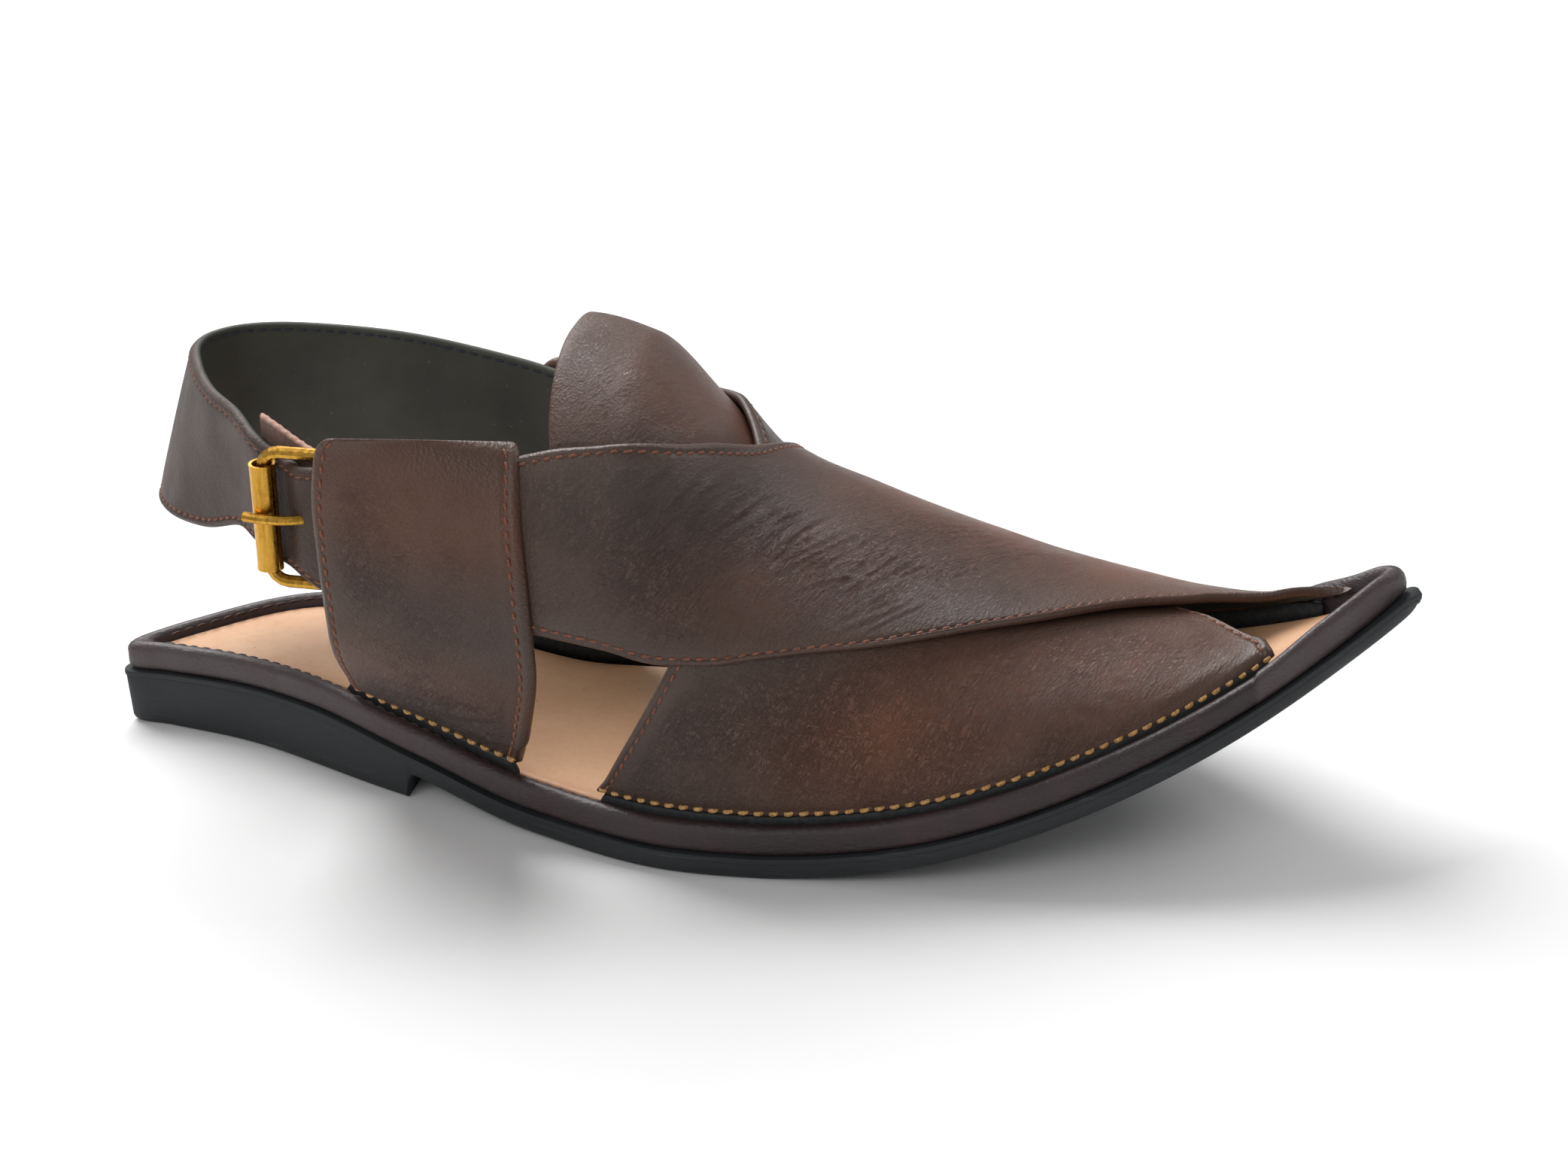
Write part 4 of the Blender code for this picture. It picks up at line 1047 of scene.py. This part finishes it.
def build_tongue():
    u = np.concatenate([np.linspace(0, 1 - 3 * MM / TONGUE_LENGTH, 150), 1 - TONGUE_STEPS[::-1] / TONGUE_LENGTH])
    station, half_arc = smooth_rows(TONGUE, u).T[:, :, None]
    u = u[:, None]
    rim = 1 - 3 * MM / TONGUE_HALF
    w = np.concatenate([-1 + TONGUE_STEPS / TONGUE_HALF, np.linspace(-rim, rim, 110),
                        1 - TONGUE_STEPS[::-1] / TONGUE_HALF])[None, :]
    x = (station + TONGUE_CORNER * w**6 * u) * SOLE_LENGTH
    arc = 0.5 + half_arc * w
    base, section = form_at(x, arc)
    arc = arc * section
    normal = normals_of(base)
    normal *= np.sign(normal[:, :, 2].sum())
    near = np.minimum((1 - np.abs(w)) * TONGUE_HALF, (1 - u) * TONGUE_LENGTH)
    prof = rounded(near, 0.6 * TONGUE_WALL)
    half = TONGUE_WALL / 2
    calm = grows(near, 0, 5)
    folds = np.minimum(creases(x, arc, TONGUE_CREASES) * calm, 0.15 * MM)
    high = -TONGUE_GAP - half + half * prof + folds
    low = -TONGUE_GAP - half - half * prof
    warm = 0.8 * np.clip(0.2 + spots(x, arc, TONGUE_WARM), 0, 1)
    flex = np.clip(0.25 + spots(x, arc, TONGUE_FLEX), 0, 1) * calm
    sheet_solid("tongue_flap", "tongue", base, normal, low, high, fields_of(x, arc, near, flex, warm))


# Heel strap and guard
RIBBON_SIZES = np.array([SOLE_LENGTH, BALL_WIDTH, HEEL_STRAP_HEIGHT, HEEL_STRAP_WIDTH, HEEL_STRAP_WIDTH])


def ribbon(table, per_span, inner):
    """A standing ribbon along a table's line: points, normals, width, places and distance run."""
    path = curve_through(np.array(table) * RIBBON_SIZES, per_span)
    run = unit(np.gradient(path[:, :2], axis=0))
    out_x, out_y = run[:, 1:], -run[:, :1]
    width = path[:, 3]
    places = across_places(width, inner)
    away = path[:, 4:5] * (places - 0.5)
    x = path[:, :1] + out_x * away
    base = np.stack([x, path[:, 1:2] + out_y * away, path[:, 2:3] - width[:, None] * places], axis=-1)
    normal = np.stack([out_x + 0 * x, out_y + 0 * x, 0 * x], axis=-1)
    return base, normal, width, places, run_of(path[:, :2])[:, None]


def build_heel_strap():
    base, normal, width, places, where = ribbon(HEEL_STRAP, 22, 20)
    from_top, from_low = from_edges(width, places)
    near = np.minimum(from_top, from_low)
    half = HEEL_STRAP_WALL / 2
    prof = rounded(near, 0.6 * HEEL_STRAP_WALL)
    wave = 0.25 * MM * np.sin(where / (17 * MM) + 3 * places) * grows(near, 0, 6)
    high = (half + seam_relief(near, 0.2 * MM, 0.3 * MM) + wave) * prof
    low = (0.25 * MM * bell(near, 1.6, 0.4) - half) * prof
    sheet_solid("heel_strap_leather", "heel_strap", base, normal, low, high,
                fields_of(where, from_top, near, 0.10, 0.12), (DARK_LEATHER, LINING), wrap=False)
    face = Face(base, normal, high, width, places)
    back = Face(base, -normal, -low, width, places)
    for end, last in (("top", False), ("low", True)):
        edge_stitches(f"stitch_heel_{end}", face, last, 3 * MM, 3 * MM, 2.8 * MM)
    for end, last in (("top", False), ("low", True)):
        line, up = along_edge(back, 1.6 * MM, last)
        stitch_row(f"stitch_lining_{end}", line, up, 3.1 * MM, 2.6 * MM, 0.6 * MM, NAVY_THREAD, 3 * MM, 30 * MM,
                   0.1 * MM, 0.1)


def build_guard():
    base, normal, width, places, where = ribbon([(*row, 0) for row in GUARD], 16, 14)
    near = np.minimum(*from_edges(width, places))
    fray = np.sin(where * 2300) * np.sin(where * 5100 + 1) * 0.22 * MM
    base[..., 2] += fray * bell(near, 0, 0.8)
    high = GUARD_WALL / 2 * rounded(near, 0.3 * GUARD_WALL)
    fields = fields_of(where, near, near)
    fields["edge"] = 1 - grows(near, 0, 0.9)
    sheet_solid("guard_tab", "buckle_guard", base, normal, -high, high, fields, (RAW, RAW))


# Sole
TIP_REACH = 16 * MM
HEEL_ROUND = 2.6 * MM
TOE_ROUND = 1.5 * MM
HEEL_DRAW = 2.2 * MM
HEEL_DRAW_REACH = 60 * MM
TOE_JOINT = 0.887
TOE_WRAP = 2.4 * MM


def soft_ends(loop):
    """Round a ring's corners at the heel and the toe, and draw the heel back by as much."""
    closed = np.vstack([loop, loop[:1]])
    where = run_of(closed)
    heel = np.clip(1 - (loop[:, 0] - loop[:, 0].min()) / TIP_REACH, 0, 1)
    toe = np.clip(1 - (loop[:, 0].max() - loop[:, 0]) / TIP_REACH, 0, 1)
    blur = HEEL_ROUND * eased(heel) + TOE_ROUND * eased(toe)
    reach = np.linspace(-2.5, 2.5, 21)
    weight = np.exp(-reach**2 / 2)
    at = (where[:-1, None] + blur[:, None] * reach[None, :]) % where[-1]
    soft = (read_at(at, where, closed) * weight[:, None]).sum(axis=1) / weight.sum()
    soft[:, 0] -= HEEL_DRAW * np.clip(1 - soft[:, 0] / HEEL_DRAW_REACH, 0, 1)**2
    return soft


def sole_ring(inset, height, extra=(), setback=0.0, stations=130):
    lateral, medial = outline_sides(inset)
    share = (1 - np.cos(np.pi * np.arange(stations + 1) / stations)) / 2
    heel, toe = lateral[0, 0], lateral[-1, 0]
    xs = np.sort(np.concatenate([heel + (toe - heel) * share, extra]))
    near = [(x, side_at(lateral, x)) for x in xs]
    far = [(x, side_at(medial, x)) for x in xs[1:-1]]
    loop = np.array(near + far[::-1])
    loop[:, 0] = set_back(loop[:, 0], setback)
    loop = soft_ends(loop)
    return np.column_stack([loop, height(loop[:, 0])])


def tip_drop(x, tip, radius):
    """How far a rounded edge has dropped at x, close to the toe's tip."""
    t = np.clip(1 - (tip - x) / radius, 0, 1)
    return radius * (1 - np.sqrt(np.maximum(1 - t * t, 0)))


def loft(name, node, rings, mat, edge=0.0):
    """A closed piece in a node's place, through rings of points and capped across both ends."""
    count = len(rings[0])
    faces = tube_faces(len(rings), count)
    for first, flip in ((0, True), ((len(rings) - 1) * count, False)):
        for i in range(count // 2):
            loop = list(dict.fromkeys([i, i + 1, (count - i - 1) % count, (count - i) % count]))
            loop = [first + v for v in loop]
            faces.append(loop[::-1] if flip else loop)
    edge = np.repeat(edge + np.zeros(len(rings)), count)
    obj = finish_mesh(name, np.vstack(rings), faces, [mat], None, {"edge": edge})
    face_outward(obj, 38)
    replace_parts(obj, node)


def build_rubber():
    breast = HEEL_LENGTH
    fillet = breast + BREAST_FILLET
    extra = [breast - 0.1 * MM, breast, breast + 0.25 * BREAST_FILLET, breast + 0.6 * BREAST_FILLET, fillet]

    def bottom(x):
        ease = np.clip((x - breast) / BREAST_FILLET, 0, 1)
        under = rubber_top(x) - RUBBER_SHEET
        return np.where(x <= breast, 0, under * np.where(x >= fillet, 1, 1 - (1 - ease)**3))

    def shoulder(rise):
        return lambda x: np.minimum(bottom(x) + RUBBER_TAPER * rise, rubber_top(x) - RUBBER_SHEET / 2)

    def top(drop):
        return lambda x: rubber_top(x) - drop - 0.6 * tip_drop(x, SOLE_LENGTH - 1.0 * MM, 3.5 * MM)

    profile = [(1.4 * RUBBER_TAPER, bottom)]
    profile += [(share * RUBBER_TAPER, shoulder(rise)) for share, rise in ((0.95, 0.22), (0.62, 0.6), (0.5, 1.0))]
    profile += [(inset * MM, top(drop * MM)) for inset, drop in (
        (0.25, 1.75), (0.35, 1.45), (0.02, 1.2), (0, 0.5), (0.12, 0.12), (0.4, 0))]
    rings = [sole_ring(inset, height, extra) for inset, height in profile]
    loft("rubber_sole", "outsole", rings, RUBBER)


def build_welt():
    joint = [TOE_JOINT * SOLE_LENGTH + step * MM for step in (-0.3, 0, 0.3, 0.7, 1.2)]
    nose = sole_ring(WELT_STEP, welt_base, setback=TOE_SETBACK)[:, 0].max()
    profile = [(WELT_STEP + 0.6 * MM, 0), (WELT_STEP + 0.1 * MM, 0.7 * MM), (WELT_STEP, 1.4 * MM),
               (WELT_STEP, WELT_HEIGHT - CREST_ROUND)]
    for angle in np.radians([20, 40, 60, 78]):
        profile.append((WELT_STEP + CREST_ROUND * (1 - np.cos(angle)),
                        WELT_HEIGHT - CREST_ROUND * (1 - np.sin(angle))))
    profile.append((WELT_STEP + CREST_ROUND + 0.3 * MM, WELT_HEIGHT))
    profile += [(WELT_WIDTH - back * MM, WELT_HEIGHT - drop * MM)
                for back, drop in ((1.0, 0.15), (0.4, 0.65), (0, 1.4))]

    def swell(x):
        """The wrapped toe stands higher than the rim behind its joint."""
        t = np.clip((x / SOLE_LENGTH - TOE_JOINT) / 0.045, 0, 1)
        return TOE_WRAP * (0.25 * np.clip(t / 0.05, 0, 1) + 0.75 * eased(t))

    def height(rise):
        share = rise / WELT_HEIGHT
        return lambda x: welt_base(x) + rise + share * (swell(x) - 0.85 * tip_drop(x, nose, 8 * MM))

    rings = [sole_ring(inset, height(rise), joint, TOE_SETBACK) for inset, rise in profile]
    rings.append(sole_ring(WELT_WIDTH, recess_floor, joint, TOE_SETBACK))
    loft("welt_rim", "midsole_welt", rings, WELT)


def build_sock():
    def ring(inset, rise):
        height = lambda x: recess_floor(x) + GAP + rise
        near = sole_ring(WELT_WIDTH + HEEL_GROOVE + inset, height, setback=TOE_SETBACK)
        slot = sole_ring(WELT_WIDTH + BAND_WALL + 2 * SLOT_GAP + inset, height, setback=TOE_SETBACK)
        share = np.clip((near[:, 0] / SOLE_LENGTH - SLOT_START) / SLOT_EASE, 0, 1)[:, None]
        return near * (1 - share) + slot * share

    wall = INSOLE_WALL / MM
    # inset and rise in millimetres, and how much painted shade darkens the rim there
    steps = [(0.3, 0.0, 1), (0.0, 0.4, 1), (0.0, wall - 0.8, 1), (0.15, wall - 0.35, 1), (0.5, wall - 0.1, 0.9),
             (1.0, wall, 0.7), (2.0, wall - 0.05, 0.5), (3.2, wall - 0.12, 0.2), (6.0, wall - 0.05, 0)]
    rings = [ring(inset * MM, rise * MM) for inset, rise, rim_shade in steps]
    loft("sock", "insole", rings, TAN, np.array([rim_shade for *_, rim_shade in steps]))


def build_groove_thread():
    """Thread that shows in the groove between the welt and what stands inside it."""
    for name, side, inward in zip(("lateral", "medial"), slot_sides(WELT_WIDTH - 0.15 * MM), (-0.25, 0.25)):
        xs = np.linspace(side[0, 0] + 3 * MM, side[-1, 0] - 6 * MM, 500)
        line = np.column_stack([xs, side_at(side, xs), welt_crest(xs) - 0.75 * MM])
        up = np.tile([0, inward, 1.0], (len(xs), 1))
        stitch_row(f"groove_thread_{name}", line, up, 3.4 * MM, 2.8 * MM, 0.6 * MM, WELT_THREAD,
                   raised=0.0, slant=0.12)


# Buckle
SEAM_ANGLE = math.radians(28)
SEAM_OPENING = math.radians(9)


def buckle_place(along, height, out=0.0):
    c, s = math.cos(BUCKLE_TURN), math.sin(BUCKLE_TURN)
    x = ROLLER_STATION * SOLE_LENGTH + along * c + out * s
    y = ROLLER_SIDE * BALL_WIDTH + along * s - out * c
    return np.array([x, y, BUCKLE_TOP - BUCKLE_HEIGHT / 2 + height])


def build_buckle():
    """The roller as a rolled sheet with its seam, and brass on the solids that stay."""
    sides, levels = 56, 14
    verts = []
    for face, radius in ((0, ROLLER_DIAMETER / 2 - 0.1 * MM), (1, ROLLER_DIAMETER / 2 - ROLLER_WALL)):
        for v in np.arange(levels + 1) / levels:
            lip = 0.08 * MM * (math.exp(-(v / 0.04)**2) + math.exp(-((1 - v) / 0.04)**2)) * (1 - face)
            for k in np.arange(sides + 1) / sides:
                angle = SEAM_ANGLE + (2 * math.pi - SEAM_OPENING) * k
                dent = -0.12 * MM * math.exp(-((v - 0.62) / 0.10)**2 - ((k - 0.55) / 0.12)**2)
                r = radius - 0.10 * MM * k + dent + lip
                height = (v - 0.5) * ROLLER_LENGTH * (1 - 0.01 * math.sin(angle))
                verts.append(buckle_place(r * math.cos(angle), height, r * math.sin(angle)))
    cols = sides + 1
    count = (levels + 1) * cols
    faces = grid_faces(levels + 1, cols).tolist() + grid_faces(levels + 1, cols, count, True).tolist()
    seams = [(i * cols + k, (i + 1) * cols + k, k == 0) for i in range(levels) for k in (0, sides)]
    ends = [(i * cols + k, i * cols + k + 1, i > 0) for k in range(sides) for i in (0, levels)]
    for a, b, turned in seams + ends:
        quad = [a, a + count, b + count, b]
        faces.append(quad if turned else quad[::-1])
    obj = finish_mesh("roller_sleeve", verts, faces, [BRASS])
    face_outward(obj, 40)
    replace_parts(obj, "buckle_roller")
    for node in ("buckle_frame", "buckle_prong"):
        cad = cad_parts[node]
        cad.data.materials.clear()
        cad.data.materials.append(BRASS)


build_rubber()
build_welt()
build_sock()
build_groove_thread()
build_slot_shadows()
build_upper()
build_tongue()
build_heel_strap()
build_guard()
build_buckle()


# Stage, light and camera
FLOOR_HALF = 6.0
WORLD_STRENGTH = 0.31
# place, target, size and power
LIGHTS = {
    "key": ((-0.50, 0.62, 0.98), (0, 0, 0.03), (1.0, 0.8), 18.5),
    "front": ((-0.35, -1.1, 0.85), (0, 0, 0.05), (1.1, 0.5), 4.2),
    "rim": ((0.7, 0.5, 0.8), (0.05, 0, 0.04), (0.6, 0.4), 2.0),
}
ELEVATION = math.radians(24.0)
TURN = math.radians(12.9)
ROLL = math.radians(-1.93)
DISTANCE_MM = 850
TARGET_MM = (150, 0, 30)
# The photograph's size in pixels, the target's place in it and its scale there.
PHOTO_WIDTH, PHOTO_HEIGHT = 2084, 1563
TARGET_ACROSS, TARGET_DOWN = 994.14, 851.65
PIXELS_PER_MM = 5.88
SENSOR_WIDTH = 36


def added(name, data):
    obj = bpy.data.objects.new(name, data)
    bpy.context.scene.collection.objects.link(obj)
    return obj


def area_light(name, place, target, size, power):
    data = bpy.data.lights.new(name, "AREA")
    data.shape = "RECTANGLE"
    data.size, data.size_y = size
    data.energy = power
    obj = added(name, data)
    obj.location = place
    obj.rotation_euler = (Vector(target) - Vector(place)).to_track_quat("-Z", "Y").to_euler()


def stage():
    mesh = bpy.data.meshes.new("floor")
    corners = [(x * FLOOR_HALF, y * FLOOR_HALF, 0) for x, y in ((-1, -1), (1, -1), (1, 1), (-1, 1))]
    mesh.from_pydata(corners, [], [(0, 1, 2, 3)])
    floor = added("floor", mesh)
    m = Nodes("pale_floor", 0.9)
    m.shader.inputs["Specular IOR Level"].default_value = 0.1
    floor.data.materials.append(m.finish((0.93, 0.93, 0.93, 1)))
    world = bpy.data.worlds.new("studio")
    bpy.context.scene.world = world
    world.use_nodes = True
    world.node_tree.nodes["Background"].inputs["Color"].default_value = (1, 1, 1, 1)
    world.node_tree.nodes["Background"].inputs["Strength"].default_value = WORLD_STRENGTH
    for name, settings in LIGHTS.items():
        area_light(name, *settings)


def camera():
    right = np.array([math.cos(TURN), math.sin(TURN), 0])
    level = np.array([-math.sin(TURN), math.cos(TURN), 0])
    ahead = level * math.cos(ELEVATION) + np.array([0, 0, -math.sin(ELEVATION)])
    up = level * math.sin(ELEVATION) + np.array([0, 0, math.cos(ELEVATION)])
    eye = np.array(TARGET_MM) * MM - ORIGIN - ahead * DISTANCE_MM * MM
    turned_right = math.cos(ROLL) * right + math.sin(ROLL) * up
    turned_up = -math.sin(ROLL) * right + math.cos(ROLL) * up
    data = bpy.data.cameras.new("camera")
    data.sensor_fit = "HORIZONTAL"
    data.sensor_width = SENSOR_WIDTH
    data.lens = PIXELS_PER_MM * DISTANCE_MM / PHOTO_WIDTH * SENSOR_WIDTH
    data.shift_x = (PHOTO_WIDTH / 2 - TARGET_ACROSS) / PHOTO_WIDTH
    data.shift_y = (TARGET_DOWN - PHOTO_HEIGHT / 2) / PHOTO_WIDTH
    data.clip_start = 0.05
    obj = added("camera", data)
    columns = np.column_stack([turned_right, turned_up, -ahead, eye])
    obj.matrix_world = Matrix([*columns.tolist(), [0, 0, 0, 1]])
    bpy.context.scene.camera = obj


stage()
camera()
bpy.context.scene.view_settings.view_transform = "Standard"

bpy.context.view_layer.update()
